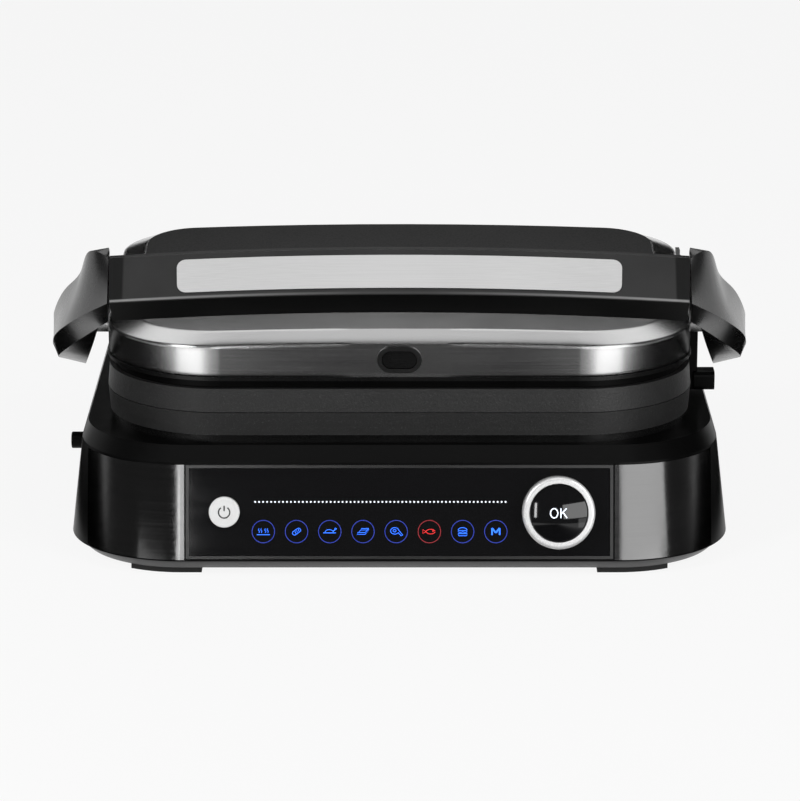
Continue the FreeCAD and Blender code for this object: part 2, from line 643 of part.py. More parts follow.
def heating_element():
    """Tubular element: straight runs across the plate joined by half turns."""
    ys, z = element_runs()
    turn = (ys[1] - ys[0]) / 2
    half = ELEMENT_SPAN / 2 - turn
    edges = []
    for i, y in enumerate(ys):
        side = 1 if i % 2 == 0 else -1
        edges.append(Part.LineSegment(V(-side * half, y, z), V(side * half, y, z)).toShape())
        if i + 1 < len(ys):
            outer = V(side * (half + turn), y + turn, z)
            edges.append(Part.Arc(V(side * half, y, z), outer, V(side * half, ys[i + 1], z)).toShape())
    path = Part.Wire(edges)
    ring = Part.Wire(Part.makeCircle(ELEMENT_RADIUS, V(-half, ys[0], z), V(1, 0, 0)))
    return path.makePipeShell([ring], True, False)


def element_clips():
    ys, z = element_runs()
    low = LOWER_SKIRT_Z - REFLECTOR_DEPTH + REFLECTOR_SHEET + SEAT_GAP
    spread = ELEMENT_SPAN / (CLIP_COUNT + 1)
    places = [-ELEMENT_SPAN / 2 + spread * (i + 1) for i in range(CLIP_COUNT)]
    return group(
        box(x - CLIP_WIDTH / 2, x + CLIP_WIDTH / 2, y - ELEMENT_RADIUS, y + ELEMENT_RADIUS,
            low, z - ELEMENT_RADIUS)
        for x in places for y in ys
    )


def heat_sensor():
    ys, _ = element_runs()
    y = (ys[1] + ys[2]) / 2
    low = LOWER_SKIRT_Z - REFLECTOR_DEPTH + REFLECTOR_SHEET + SEAT_GAP
    return rod(SENSOR_RADIUS, (SENSOR_X, y, low), (SENSOR_X, y, LOWER_FLOOR_Z - SEAT_GAP))


# Lid

def crown(lift=0.0):
    """Long drum whose skin is the crowned, rising top of the lid."""
    half = PLATE_WIDTH / 2
    radius = (half ** 2 + LID_CROWN ** 2) / (2 * LID_CROWN)
    run = V(0, PLATE_REAR_Y - PLATE_FRONT_Y, LID_RISE)
    length = 2 * run.Length
    run.normalize()
    skin = V(0, PLATE_FRONT_Y, LID_TOP_FRONT_Z + lift)
    start = skin - V(0, -run.z, run.y) * radius - run * (length / 4)
    drum = Part.makeCylinder(radius, length, start, run)
    drum.rotate(start, run, 180)     # its seam lies below, clear of the top
    return drum


def bevelled_block(inset, drop, low):
    """Lid form above low: upright walls, a bevel all round and the crowned top, moved in and down."""
    tall = LID_TOP_FRONT_Z + LID_RISE - low + CUT
    block = slab(plate_plan(LID_INSET + inset, low), tall).common(crown(-drop))
    top = max(block.Faces, key=lambda f: f.CenterOfMass.z)
    return block.makeChamfer(LID_BEVEL_OUT, LID_BEVEL_DOWN, top.Edges)


def release_hole(grow):
    """Rounded prism along Y at the release button, larger than the button by grow."""
    half_h = RELEASE_HEIGHT / 2 + grow
    half_x = RELEASE_LENGTH / 2 - RELEASE_HEIGHT / 2
    front, back = PLATE_FRONT_Y - CUT, PLATE_FRONT_Y + RELEASE_STEM
    middle = box(-half_x, half_x, front, back, RELEASE_Z - half_h, RELEASE_Z + half_h)
    ends = [rod(half_h, (x, front, RELEASE_Z), (x, back, RELEASE_Z)) for x in (-half_x, half_x)]
    return fused([middle] + ends)


def lid_shell():
    outer = bevelled_block(0.0, 0.0, LID_SHELL_Z)
    inner = bevelled_block(LID_SHEET, LID_SHEET, LID_SHELL_Z - CUT)
    return outer.cut(inner).cut(release_hole(RELEASE_RIM + SEAT_GAP))


def lid_top_panel():
    """Dark panel laid on the rear part of the steel top."""
    inset = LID_INSET + LID_BEVEL_OUT + TOP_PANEL_SIDE_GAP
    field = slab(plate_plan(inset, LID_SHELL_Z), LID_TOP_FRONT_Z + LID_RISE - LID_SHELL_Z + CUT)
    rear = box(-PLATE_WIDTH, PLATE_WIDTH, TOP_PANEL_FRONT_Y, PLATE_REAR_Y - inset + CUT, LID_SHELL_Z,
               LID_TOP_FRONT_Z + LID_RISE + CUT)
    return field.common(rear).common(crown(TOP_PANEL_THICK)).cut(crown(SEAT_GAP))


def ring_plate(out_inset, in_inset, low, high):
    inner = slab(plate_plan(in_inset, low - CUT), high - low + 2 * CUT)
    return slab(plate_plan(out_inset, low), high - low).cut(inner)


def lid_trim():
    """Black trim ring that the steel shell stands on."""
    return ring_plate(0.0, COLLAR_OUT + COLLAR_WIDTH, LID_SHELL_Z - TRIM_HEIGHT, LID_SHELL_Z - SEAT_GAP)


def lid_base():
    """Recessed band that carries the upper plate."""
    low = 2 * PLATE_PLANE_Z - LOWER_SKIRT_Z + SEAT_GAP
    return ring_plate(LID_BASE_INSET, COLLAR_OUT + COLLAR_WIDTH, low, LID_SHELL_Z - TRIM_HEIGHT - SEAT_GAP)


def release_bezel():
    front = PLATE_FRONT_Y + LID_INSET - RELEASE_PROUD
    back = PLATE_FRONT_Y + LID_INSET + LID_SHEET + RELEASE_RIM
    cutter = box(-RELEASE_LENGTH, RELEASE_LENGTH, front, back,
                 RELEASE_Z - RELEASE_LENGTH, RELEASE_Z + RELEASE_LENGTH)
    return release_hole(RELEASE_RIM).cut(release_hole(0.0)).common(cutter)


def release_button():
    front = PLATE_FRONT_Y + LID_INSET - RELEASE_PROUD / 2
    back = PLATE_FRONT_Y + LID_INSET + LID_SHEET + RELEASE_RIM
    cutter = box(-RELEASE_LENGTH, RELEASE_LENGTH, front, back,
                 RELEASE_Z - RELEASE_LENGTH, RELEASE_Z + RELEASE_LENGTH)
    stem = rod(STEM_RADIUS, (0, back, RELEASE_Z), (0, PLATE_FRONT_Y + RELEASE_STEM + RELEASE_HEIGHT, RELEASE_Z))
    return fused([release_hole(-RUN_GAP).common(cutter), stem])


def release_guide():
    """Block on the trim ring that guides the button's stem."""
    front = PLATE_FRONT_Y + LID_INSET + LID_SHEET + RELEASE_RIM + RELEASE_TRAVEL + RUN_GAP
    block = box(-RELEASE_HEIGHT / 2, RELEASE_HEIGHT / 2, front, front + GUIDE_DEPTH,
                LID_SHELL_Z, RELEASE_Z + STEM_RADIUS + LID_SHEET)
    hole = rod(STEM_RADIUS + PIN_GAP, (0, front - CUT, RELEASE_Z), (0, front + RELEASE_HEIGHT, RELEASE_Z))
    return block.cut(hole)


# Handle

def bar_points():
    """Cross section of the handle bar as (y, z), from the nose up and round."""
    top_y = BAR_NOSE_Y + BAR_LEAN
    back_y = BAR_NOSE_Y + BAR_DEPTH
    return [
        (BAR_NOSE_Y, BAR_NOSE_Z),
        (top_y, BAR_TOP_Z),
        (back_y, BAR_TOP_Z - INLAY_THICK),
        (back_y, BAR_BOTTOM_Z + BAR_BACK_THICK),
        (BAR_NOSE_Y + BAR_UNDERCUT, BAR_BOTTOM_Z),
    ]


def arched(points, length):
    """Sweeps a cross section across the grill along the bar's shallow arch."""
    radius = ((BAR_LENGTH / 2) ** 2 + BAR_ARCH ** 2) / (2 * BAR_ARCH)
    half = math.degrees(math.asin(length / 2 / radius))
    axis = V(0, 0, BAR_TOP_Z - radius)
    face = Part.Face(Part.makePolygon([V(0, y, z) for y, z in points] + [V(0, *points[0])]))
    face.rotate(axis, V(0, 1, 0), -half)
    return face.revolve(axis, V(0, 1, 0), 2 * half)


def handle_bar():
    nose, top, back_top, back_low, low = bar_points()
    back = back_top[0] - BAR_BACK_THICK - SEAT_GAP
    return arched([nose, top, (back, back_top[1]), (back, back_low[1]), low], BAR_LENGTH)


def handle_back():
    _, _, back_top, back_low, _ = bar_points()
    front = back_top[0] - BAR_BACK_THICK
    return arched([(front, back_top[1]), back_top, back_low, (front, back_low[1])], BAR_LENGTH)


def face_point(share, out):
    """Point on the bar's sloping face: share of the way from nose to top, moved out along the normal."""
    nose, top = bar_points()[:2]
    run = V(0, top[0] - nose[0], top[1] - nose[1])
    normal = V(0, -run.z, run.y)
    normal.normalize()
    place = V(0, *nose) + run * share + normal * out
    return place.y, place.z


def handle_inlay():
    """Pale metal plate on the bar's sloping face, with rounded ends."""
    nose, top = bar_points()[:2]
    slope = math.hypot(top[0] - nose[0], top[1] - nose[1])
    low = (slope - INLAY_HEIGHT) / 2 / slope + SEAT_GAP / slope
    high = low + INLAY_HEIGHT / slope
    strip = arched([face_point(low, SEAT_GAP), face_point(low, INLAY_THICK), face_point(high, INLAY_THICK),
                    face_point(high, SEAT_GAP)], INLAY_LENGTH)
    ends = [e for e in strip.Edges if abs(e.Length - INLAY_THICK + SEAT_GAP) < SEAT_GAP]
    return strip.makeFillet(INLAY_CORNER, ends)


def handle_screws():
    back_y = bar_points()[2][0]
    z = (BAR_BOTTOM_Z + BAR_TOP_Z) / 2
    return group(
        rod(SCREW_HEAD_RADIUS, (x, back_y + SEAT_GAP, z), (x, back_y + SCREW_HEAD, z))
        for x in (-BAR_LENGTH / 4, BAR_LENGTH / 4)
    )


# Stations of an arm behind the bar's end. Each corner is shares of: the arm's reach out from the bar's end,
# the run from the bar's nose back to the hinge, and the rise from the hinge axis to the bar's top.
ARM_CORNER_SHARES = [
    [(0.21, 0.096, 0.97), (0.02, 0.120, 0.97), (0.04, 0.125, 0.58), (0.10, 0.080, 0.52), (0.24, 0.050, 0.63)],
    [(0.45, 0.184, 0.78), (0.20, 0.210, 0.79), (0.22, 0.200, 0.42), (0.45, 0.175, 0.36), (0.68, 0.155, 0.45)],
    [(0.74, 0.279, 0.59), (0.42, 0.295, 0.60), (0.35, 0.290, 0.25), (0.82, 0.275, 0.18), (0.90, 0.260, 0.30)],
    [(0.95, 0.368, 0.39), (0.55, 0.380, 0.40), (0.50, 0.375, 0.06), (0.90, 0.365, 0.08), (0.98, 0.360, 0.17)],
    [(0.97, 0.580, 0.22), (0.60, 0.580, 0.23), (0.60, 0.580, -0.07), (0.95, 0.580, -0.08), (1.00, 0.580, 0.07)],
    [(0.97, 1.000, 0.10), (0.62, 1.000, 0.11), (0.62, 1.000, -0.10), (0.95, 1.000, -0.11), (1.00, 1.000, 0.00)],
]


def arm_sections():
    """Corner rings of the right arm: the bar's section at its end, then the stations back to the hinge."""
    start_x = BAR_LENGTH / 2 + SEAT_GAP
    nose, top, back_top, back_low, low = bar_points()
    rings = [[V(start_x, y, z - BAR_ARCH) for y, z in (top, back_top, back_low, low, nose)]]
    for corners in ARM_CORNER_SHARES:
        rings.append([
            V(start_x + sx * (ARM_OUT_X - start_x), BAR_NOSE_Y + sy * (HINGE_Y - BAR_NOSE_Y),
              HINGE_AXIS_Z + sz * (BAR_TOP_Z - HINGE_AXIS_Z))
            for sx, sy, sz in corners
        ])
    return rings


def arm_body():
    """Ruled faces between five smooth corner lines, closed by the first and last ring."""
    rings = arm_sections()
    middles = [sum(ring, V()) / len(ring) for ring in rings]
    steps = [0.0]
    for here, there in zip(middles, middles[1:]):
        steps.append(steps[-1] + (there - here).Length)
    lines = []
    for corner in zip(*rings):
        line = Part.BSplineCurve()
        line.interpolate(Points=list(corner), Parameters=steps)
        lines.append(line.toShape())
    faces = [Part.makeRuledSurface(a, b) for a, b in zip(lines, lines[1:] + lines[:1])]
    faces += [Part.Face(Part.makePolygon(ring + ring[:1])) for ring in (rings[0], rings[-1])]
    shell = Part.Shell(faces)
    shell.sewShape()
    body = Part.Solid(shell)
    if body.Volume < 0:
        body.reverse()
    return body


def right_arm():
    body = arm_body()
    eye_x = POST_OUTER_X + LEVER_GAP_X
    eye = rod(ARM_EYE_RADIUS, (eye_x, HINGE_Y, HINGE_AXIS_Z), (ARM_OUT_X, HINGE_Y, HINGE_AXIS_Z))
    bore = rod(HINGE_PIN_RADIUS + PIN_GAP, (eye_x - CUT, HINGE_Y, HINGE_AXIS_Z),
               (ARM_OUT_X - BASE_WALL, HINGE_Y, HINGE_AXIS_Z))
    socket = rod(PIVOT_RADIUS + SEAT_GAP, (PLATE_WIDTH / 2, PIVOT_Y, PIVOT_Z),
                 (PLATE_WIDTH / 2 + PIVOT_REACH + SEAT_GAP, PIVOT_Y, PIVOT_Z))
    return fused([body, eye]).cut(bore).cut(socket)


def arm_pins():
    """Pins that carry the lid between the arms."""
    start = PLATE_WIDTH / 2 - LID_INSET + SEAT_GAP
    return group(
        rod(PIVOT_RADIUS, (side * start, PIVOT_Y, PIVOT_Z), (side * (start + PIVOT_REACH), PIVOT_Y, PIVOT_Z))
        for side in (-1, 1)
    )


# Hinge

def hinge_post():
    """Right rear post: the slider rides up and down in its window."""
    top = HINGE_AXIS_Z + HINGE_TRAVEL + SLIDER_HEIGHT / 2 + POST_CAP
    rear = HINGE_Y + POST_DEPTH / 2
    block = box(POST_INNER_X, POST_OUTER_X, HINGE_Y - POST_DEPTH / 2, rear, DECK_Z + SEAT_GAP, top)
    outside = [e for e in block.Edges if e.BoundBox.XMin > POST_OUTER_X - SEAT_GAP]
    corner = [e for e in outside if e.BoundBox.YMin > rear - SEAT_GAP]
    block = block.makeFillet(POST_CORNER, corner)
    block = block.makeFillet(POST_EDGE, [e for e in block.Edges if e.BoundBox.ZMin > top - SEAT_GAP])
    window = box(POST_INNER_X - CUT, POST_OUTER_X + CUT, HINGE_Y - SLIDER_DEPTH / 2 - RUN_GAP,
                 HINGE_Y + SLIDER_DEPTH / 2 + RUN_GAP, HINGE_AXIS_Z - SLIDER_HEIGHT / 2 - RUN_GAP,
                 HINGE_AXIS_Z + HINGE_TRAVEL + SLIDER_HEIGHT / 2 + RUN_GAP)
    return block.cut(window)


def hinge_slider():
    block = box(POST_INNER_X, POST_OUTER_X, HINGE_Y - SLIDER_DEPTH / 2, HINGE_Y + SLIDER_DEPTH / 2,
                HINGE_AXIS_Z - SLIDER_HEIGHT / 2, HINGE_AXIS_Z + SLIDER_HEIGHT / 2)
    return block.cut(rod(HINGE_PIN_RADIUS + PIN_GAP, (POST_INNER_X - CUT, HINGE_Y, HINGE_AXIS_Z),
                         (POST_OUTER_X + CUT, HINGE_Y, HINGE_AXIS_Z)))


def hinge_shaft():
    end = ARM_OUT_X - BASE_WALL - RUN_GAP
    return rod(HINGE_PIN_RADIUS, (-end, HINGE_Y, HINGE_AXIS_Z), (end, HINGE_Y, HINGE_AXIS_Z))


def hinge_release():
    """Thumb slide on the right post that frees the lid to open flat."""
    low = HINGE_AXIS_Z + HINGE_TRAVEL + SLIDER_HEIGHT / 2 + POST_CAP + SEAT_GAP
    middle = (POST_INNER_X + POST_OUTER_X) / 2
    half = (POST_OUTER_X - POST_INNER_X) / 2 - LEVER_GAP_X
    foot = box(middle - half, middle + half, HINGE_Y - LEVER_LENGTH / 2, HINGE_Y + LEVER_LENGTH / 2, low,
               low + LEVER_THICK / 2)
    tab = box(middle - LEVER_THICK / 2, middle + LEVER_THICK / 2,
              HINGE_Y - LEVER_LENGTH / 4, HINGE_Y + LEVER_LENGTH / 4, low, low + LEVER_RISE / 2)
    return fused([foot, tab])


def post_screws():
    """Screw heads under the deck that hold the posts."""
    x = (POST_INNER_X + POST_OUTER_X) / 2 - SCREW_RADIUS
    high = DECK_Z - BASE_WALL - SEAT_GAP
    return group(
        rod(SCREW_RADIUS, (side * x, HINGE_Y + dy, high - SCREW_HEAD), (side * x, HINGE_Y + dy, high))
        for side in (-1, 1) for dy in (-POST_DEPTH / 4, 0)
    )


def latch_x():
    return PLATE_WIDTH / 2 + LATCH_X_GAP


def storage_latch():
    """Swinging latch on the lid's right side that holds the grill shut in storage."""
    x0, x1 = latch_x(), latch_x() + LATCH_THICK
    block_x = PLATE_WIDTH / 2 + LATCH_BLOCK_GAP
    low = DECK_Z + LATCH_X_GAP
    front, rear = LATCH_Y - LATCH_LENGTH / 2, LATCH_Y + LATCH_LENGTH / 2
    block = box(x1 - LATCH_X_GAP, block_x + LATCH_BLOCK, front, rear, low, low + LATCH_HEIGHT)
    along = [e for e in block.Edges if abs(e.BoundBox.XLength - block.BoundBox.XLength) < SEAT_GAP]
    block = block.makeFillet(LATCH_HEIGHT / 4, along)
    neck = box(x0, x1, LATCH_Y - LATCH_NECK / 2, LATCH_Y + LATCH_NECK / 2, low, LATCH_PIVOT_Z)
    eye = rod(LATCH_NECK / 2, (x0, LATCH_Y, LATCH_PIVOT_Z), (x1, LATCH_Y, LATCH_PIVOT_Z))
    hole = rod(LATCH_PIN_RADIUS + PIN_GAP, (x0 - CUT, LATCH_Y, LATCH_PIVOT_Z),
               (x1 + CUT, LATCH_Y, LATCH_PIVOT_Z))
    return fused([block, neck, eye]).cut(hole)


def latch_pin():
    start = PLATE_WIDTH / 2 - LID_INSET + SEAT_GAP
    end = latch_x() + LATCH_THICK + RUN_GAP
    shank = rod(LATCH_PIN_RADIUS, (start, LATCH_Y, LATCH_PIVOT_Z), (end, LATCH_Y, LATCH_PIVOT_Z))
    head = rod(LATCH_NECK / 2, (end, LATCH_Y, LATCH_PIVOT_Z), (end + SCREW_HEAD, LATCH_Y, LATCH_PIVOT_Z))
    return fused([shank, head])


# Lower release, drip tray and the rest of the base

def knob_wall_x():
    share = (KNOB_Z - BASE_BOTTOM_Z) / (SHOULDER_Z - BASE_BOTTOM_Z)
    return -(BASE_WIDTH / 2 - share * SIDE_DRAFT)


def knob_flange_x():
    return knob_wall_x() + BASE_WALL + KNOB_FLANGE_GAP


def release_knob():
    """Push knob in the left wall that frees the lower plate."""
    outer = rod(KNOB_RADIUS, (knob_wall_x() - KNOB_PROUD, KNOB_Y, KNOB_Z), (knob_flange_x(), KNOB_Y, KNOB_Z))
    rims = [e for e in outer.Edges if abs(e.BoundBox.XMax - knob_wall_x() + KNOB_PROUD) < SEAT_GAP]
    outer = outer.makeFillet(KNOB_FLANGE / 2, rims)
    flange = rod(KNOB_RADIUS + KNOB_FLANGE, (knob_flange_x(), KNOB_Y, KNOB_Z),
                 (knob_flange_x() + KNOB_FLANGE, KNOB_Y, KNOB_Z))
    stem = rod(KNOB_RADIUS / 2, (knob_flange_x(), KNOB_Y, KNOB_Z),
               (knob_flange_x() + KNOB_STEM, KNOB_Y, KNOB_Z))
    return fused([outer, flange, stem])


def knob_bracket_x():
    return knob_flange_x() + KNOB_STEM - KNOB_TRAVEL


def knob_bracket():
    """Upright in the base that guides the knob's stem and backs its spring."""
    x0 = knob_bracket_x()
    wall = box(x0, x0 + BASE_WALL, KNOB_Y - 2 * KNOB_RADIUS, KNOB_Y + 2 * KNOB_RADIUS,
               BOTTOM_FLOOR_Z + SEAT_GAP, KNOB_Z + 2 * KNOB_RADIUS)
    return wall.cut(rod(KNOB_RADIUS / 2 + PIN_GAP, (x0 - CUT, KNOB_Y, KNOB_Z), (x0 + CUT, KNOB_Y, KNOB_Z)))


def knob_spring():
    """Return spring on the stem, seated on the bracket, with the knob's travel left free."""
    radius = KNOB_RADIUS / 2 + PIN_GAP + 2 * SPRING_WIRE
    length = knob_bracket_x() - knob_flange_x() - KNOB_FLANGE - KNOB_TRAVEL - 4 * SPRING_WIRE
    path = Part.makeHelix(length / SPRING_TURNS, length, radius)
    ring = Part.Wire(Part.makeCircle(SPRING_WIRE, V(radius, 0, 0), V(0, 1, 0)))
    coil = Part.Wire(path).makePipeShell([ring], True, True)
    coil.rotate(V(0, 0, 0), V(0, 1, 0), -90)
    coil.translate(V(knob_bracket_x() - SPRING_WIRE - SEAT_GAP, KNOB_Y, KNOB_Z))
    return coil


def drip_tray():
    """Grease tray that pulls out of the rear wall."""
    rear = REAR_Y - COVER_INSET
    front = rear - TRAY_DEPTH
    half = TRAY_WIDTH / 2
    top = TRAY_Z + TRAY_HEIGHT
    tray = box(-half, half, front, rear, TRAY_Z, top)
    tray = tray.cut(box(-half + TRAY_WALL, half - TRAY_WALL, front + TRAY_WALL, rear - TRAY_WALL - TRAY_LIP,
                        TRAY_Z + TRAY_WALL, top + CUT))
    finger = box(-half / 4, half / 4, rear - TRAY_LIP, rear + CUT, TRAY_Z - CUT, TRAY_Z + TRAY_HEIGHT / 2)
    return tray.cut(finger)


def drain_funnel():
    """Chute under the spout that leads grease down to the tray."""
    half = DRAIN_WIDTH / 2 - SEAT_GAP
    y0, y1 = PLATE_REAR_Y + SEAT_GAP, PLATE_REAR_Y + DRAIN_REACH + DRAIN_WALL - SEAT_GAP
    low = TRAY_Z + TRAY_HEIGHT + DRAIN_WALL
    chute = box(-half, half, y0, y1, low, DECK_Z + SEAT_GAP)
    flange = box(-half - DRAIN_WALL, half + DRAIN_WALL, y0, y1 + DRAIN_WALL,
                 DECK_Z + SEAT_GAP, DECK_Z + DRAIN_WALL)
    hole = box(-half + DRAIN_WALL, half - DRAIN_WALL, y0 + DRAIN_WALL, y1 - DRAIN_WALL, low - CUT, DECK_Z + CUT)
    return fused([chute, flange]).cut(hole)


def power_board():
    z = POWER_BOARD_Z + SEAT_GAP
    half_w, half_d = POWER_BOARD_WIDTH / 2, POWER_BOARD_DEPTH / 2
    board = box(POWER_BOARD_X - half_w, POWER_BOARD_X + half_w, -half_d, half_d, z, z + BOARD_THICK)
    relays = [
        box(POWER_BOARD_X - half_w / 2, POWER_BOARD_X + half_w / 2, y - half_w / 4, y + half_w / 4,
            z + BOARD_THICK, z + BOARD_THICK + half_w / 2)
        for y in (-half_d / 2, half_d / 2)
    ]
    return fused([board] + relays)


def cord_gland():
    """Bush in the rear wall where a mains lead would enter."""
    end = REAR_Y - SEAT_GAP
    bush = rod(GLAND_RADIUS, (GLAND_X, end - GLAND_LENGTH, GLAND_Z), (GLAND_X, end, GLAND_Z))
    bore = rod(GLAND_BORE, (GLAND_X, end - GLAND_LENGTH - CUT, GLAND_Z), (GLAND_X, end + CUT, GLAND_Z))
    return bush.cut(bore)


def export(name, shape):
    shape.exportStep(os.path.join("parts", name + ".step"))
    solids = shape.Solids
    print(name, len(solids), round(sum(s.Volume for s in solids)), shape.isValid())


def main():
    os.makedirs("parts", exist_ok=True)
    for name, shape in pieces().items():
        export(name, shape)


def pieces():
    return {
        "base_housing": base_housing(),
        "bottom_cover": bottom_cover(),
        "rubber_feet": rubber_feet(),
        "cover_screws": cover_screws(),
        "left_steel_fascia": side_fascia(-1),
        "right_steel_fascia": side_fascia(1),
        "panel_frame": panel_frame(),
        "control_panel": control_panel(),
        "panel_carrier": panel_carrier(),
        "mode_light_guides": mode_light_guides(),
        "dot_light_bar": dot_light_bar(),
        "control_board": control_board(),
        "dial_encoder": dial_encoder(),
        "power_switch": power_switch(),
        "dial_ring": dial_ring(),
        "ok_button": ok_button(),
        "power_button": power_button(),
        "plate_collar": plate_collar(),
        "lower_plate": lower_plate(),
        "lower_reflector": reflector(),
        "lower_heating_element": heating_element(),
        "lower_element_clips": element_clips(),
        "lower_heat_sensor": heat_sensor(),
        "upper_plate": upper(plate_dish()),
        "upper_reflector": upper(reflector()),
        "upper_heating_element": upper(heating_element()),
        "upper_element_clips": upper(element_clips()),
        "upper_heat_sensor": upper(heat_sensor()),
        "lid_base": lid_base(),
        "lid_trim": lid_trim(),
        "lid_shell": lid_shell(),
        "lid_top_panel": lid_top_panel(),
        "release_bezel": release_bezel(),
        "release_button": release_button(),
        "release_guide": release_guide(),
        "handle_bar": handle_bar(),
        "handle_back": handle_back(),
        "handle_inlay": handle_inlay(),
        "handle_screws": handle_screws(),
        "right_arm": right_arm(),
        "left_arm": mirrored(right_arm()),
        "arm_pins": arm_pins(),
        "right_hinge_post": hinge_post(),
        "left_hinge_post": mirrored(hinge_post()),
        "post_screws": post_screws(),
        "right_hinge_slider": hinge_slider(),
        "left_hinge_slider": mirrored(hinge_slider()),
        "hinge_shaft": hinge_shaft(),
        "hinge_release_slide": hinge_release(),
        "storage_latch": storage_latch(),
        "latch_pin": latch_pin(),
        "release_knob": release_knob(),
        "knob_bracket": knob_bracket(),
        "knob_spring": knob_spring(),
        "drip_tray": drip_tray(),
        "drain_funnel": drain_funnel(),
        "power_board": power_board(),
        "cord_gland": cord_gland(),
    }


main()
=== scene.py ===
"""Studio scene of the table grill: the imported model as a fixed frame, dressed with finished pieces."""
import math

import bmesh
import bpy
from mathutils import Matrix, Vector


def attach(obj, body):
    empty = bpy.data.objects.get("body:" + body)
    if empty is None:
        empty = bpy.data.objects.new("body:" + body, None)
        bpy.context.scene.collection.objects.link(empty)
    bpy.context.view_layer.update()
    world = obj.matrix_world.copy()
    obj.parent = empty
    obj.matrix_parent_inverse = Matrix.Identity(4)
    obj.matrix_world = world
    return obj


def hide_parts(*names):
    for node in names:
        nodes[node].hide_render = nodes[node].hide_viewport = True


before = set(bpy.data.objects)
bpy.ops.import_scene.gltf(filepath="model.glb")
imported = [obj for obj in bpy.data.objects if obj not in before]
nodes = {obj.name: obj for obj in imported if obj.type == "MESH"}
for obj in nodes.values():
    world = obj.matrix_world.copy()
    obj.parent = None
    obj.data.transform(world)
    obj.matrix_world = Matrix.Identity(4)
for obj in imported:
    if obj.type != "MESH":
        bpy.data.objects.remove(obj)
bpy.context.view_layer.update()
MM = 0.001
WELD = 1e-6

# Sizes in millimetres that the finished pieces share with the solids
FRONT_Y = -149.974
LOW_Z, SHOULDER_Z = 9.0, 62.0
TILT = math.radians(14.0)
FRONT_DRAFT = (SHOULDER_Z - LOW_Z) * math.tan(TILT)
DIAL_X, POWER_X = 87.5, -96.5
BAR_LENGTH, BAR_ARCH, BAR_NOSE_Z = 318.0, 5.0, 157.6


# Shader maths: sockets that grow nodes as they are used in expressions

class Value:
    """A socket of a finish. Arithmetic on it adds Math nodes."""

    def __init__(self, finish, socket):
        self.finish, self.socket = finish, socket

    def math(self, operation, first, second=None):
        inputs = {0: first} if second is None else {0: first, 1: second}
        return self.finish.node("ShaderNodeMath", {"operation": operation}, inputs)

    def __add__(self, other):
        return self.math("ADD", self, other)

    def __sub__(self, other):
        return self.math("SUBTRACT", self, other)

    def __rsub__(self, other):
        return self.math("SUBTRACT", other, self)

    def __mul__(self, other):
        return self.math("MULTIPLY", self, other)

    def __pow__(self, other):
        return self.math("POWER", self, other)

    def __abs__(self):
        return self.math("ABSOLUTE", self)


class Finish:
    """A material and its nodes."""

    def __init__(self, name):
        self.material = bpy.data.materials.new(name)
        self.material.use_nodes = True
        self.tree = self.material.node_tree
        self.shader = self.tree.nodes["Principled BSDF"]
        self.output = self.tree.nodes["Material Output"]

    def node(self, kind, settings=None, inputs=None, out=0):
        """Adds a node: its settings first, then the values or links of its sockets. Gives one output."""
        made = self.tree.nodes.new(kind)
        for key, value in (settings or {}).items():
            setattr(made, key, value)
        for key, value in (inputs or {}).items():
            self.feed(made.inputs[key], value)
        return Value(self, made.outputs[out])

    def feed(self, socket, value):
        """Links a value to a socket or sets it there; a colour gets its alpha."""
        if isinstance(value, Value):
            self.tree.links.new(value.socket, socket)
        elif hasattr(value, "__len__") and len(value) == 3 and len(socket.default_value) == 4:
            socket.default_value = (*value, 1.0)
        else:
            socket.default_value = value

    def place(self, scale=None):
        """Object coordinates in metres, stretched by scale if that is given."""
        spot = self.node("ShaderNodeTexCoord", out=3)
        if scale is None:
            return spot
        return self.node("ShaderNodeVectorMath", {"operation": "MULTIPLY"}, {0: spot, 1: scale})

    def axis(self, spot, letter):
        """One coordinate of a spot."""
        return self.node("ShaderNodeSeparateXYZ", inputs={0: spot}, out="XYZ".index(letter))

    def noise(self, spot, scale, detail=3.0, rough=0.55):
        sockets = {"Vector": spot, "Scale": scale, "Detail": detail, "Roughness": rough}
        return self.node("ShaderNodeTexNoise", inputs=sockets)

    def cells(self, spot, scale, feature="F1"):
        return self.node("ShaderNodeTexVoronoi", {"feature": feature}, {"Vector": spot, "Scale": scale})

    def fit(self, value, low, high, to_low=0.0, to_high=1.0):
        """Maps low..high to to_low..to_high, clamped."""
        return self.node("ShaderNodeMapRange", {"clamp": True},
                         {0: value, 1: low, 2: high, 3: to_low, 4: to_high})

    def tint(self, factor, first, second):
        """Blend from the first colour to the second."""
        return self.node("ShaderNodeMix", {"data_type": "RGBA"}, {0: factor, 6: first, 7: second}, out=2)

    def bump(self, height, strength, distance):
        sockets = {"Height": height, "Strength": strength, "Distance": distance}
        return self.node("ShaderNodeBump", inputs=sockets)

    def set(self, **sockets):
        """Sets the shader's sockets; underscores in a name stand for spaces."""
        for key, value in sockets.items():
            self.feed(self.shader.inputs[key.replace("_", " ")], value)
        return self.material


def srgb(level):
    """Linear value of an 8-bit grey or a colour."""
    if hasattr(level, "__len__"):
        return tuple(srgb(part) for part in level)
    part = level / 255
    return part / 12.92 if part <= 0.04045 else ((part + 0.055) / 1.055) ** 2.4


def grey(level):
    """Linear colour of an 8-bit grey."""
    return (srgb(level),) * 3


# Mesh making. Pieces are worked out in millimetres and stored in metres.

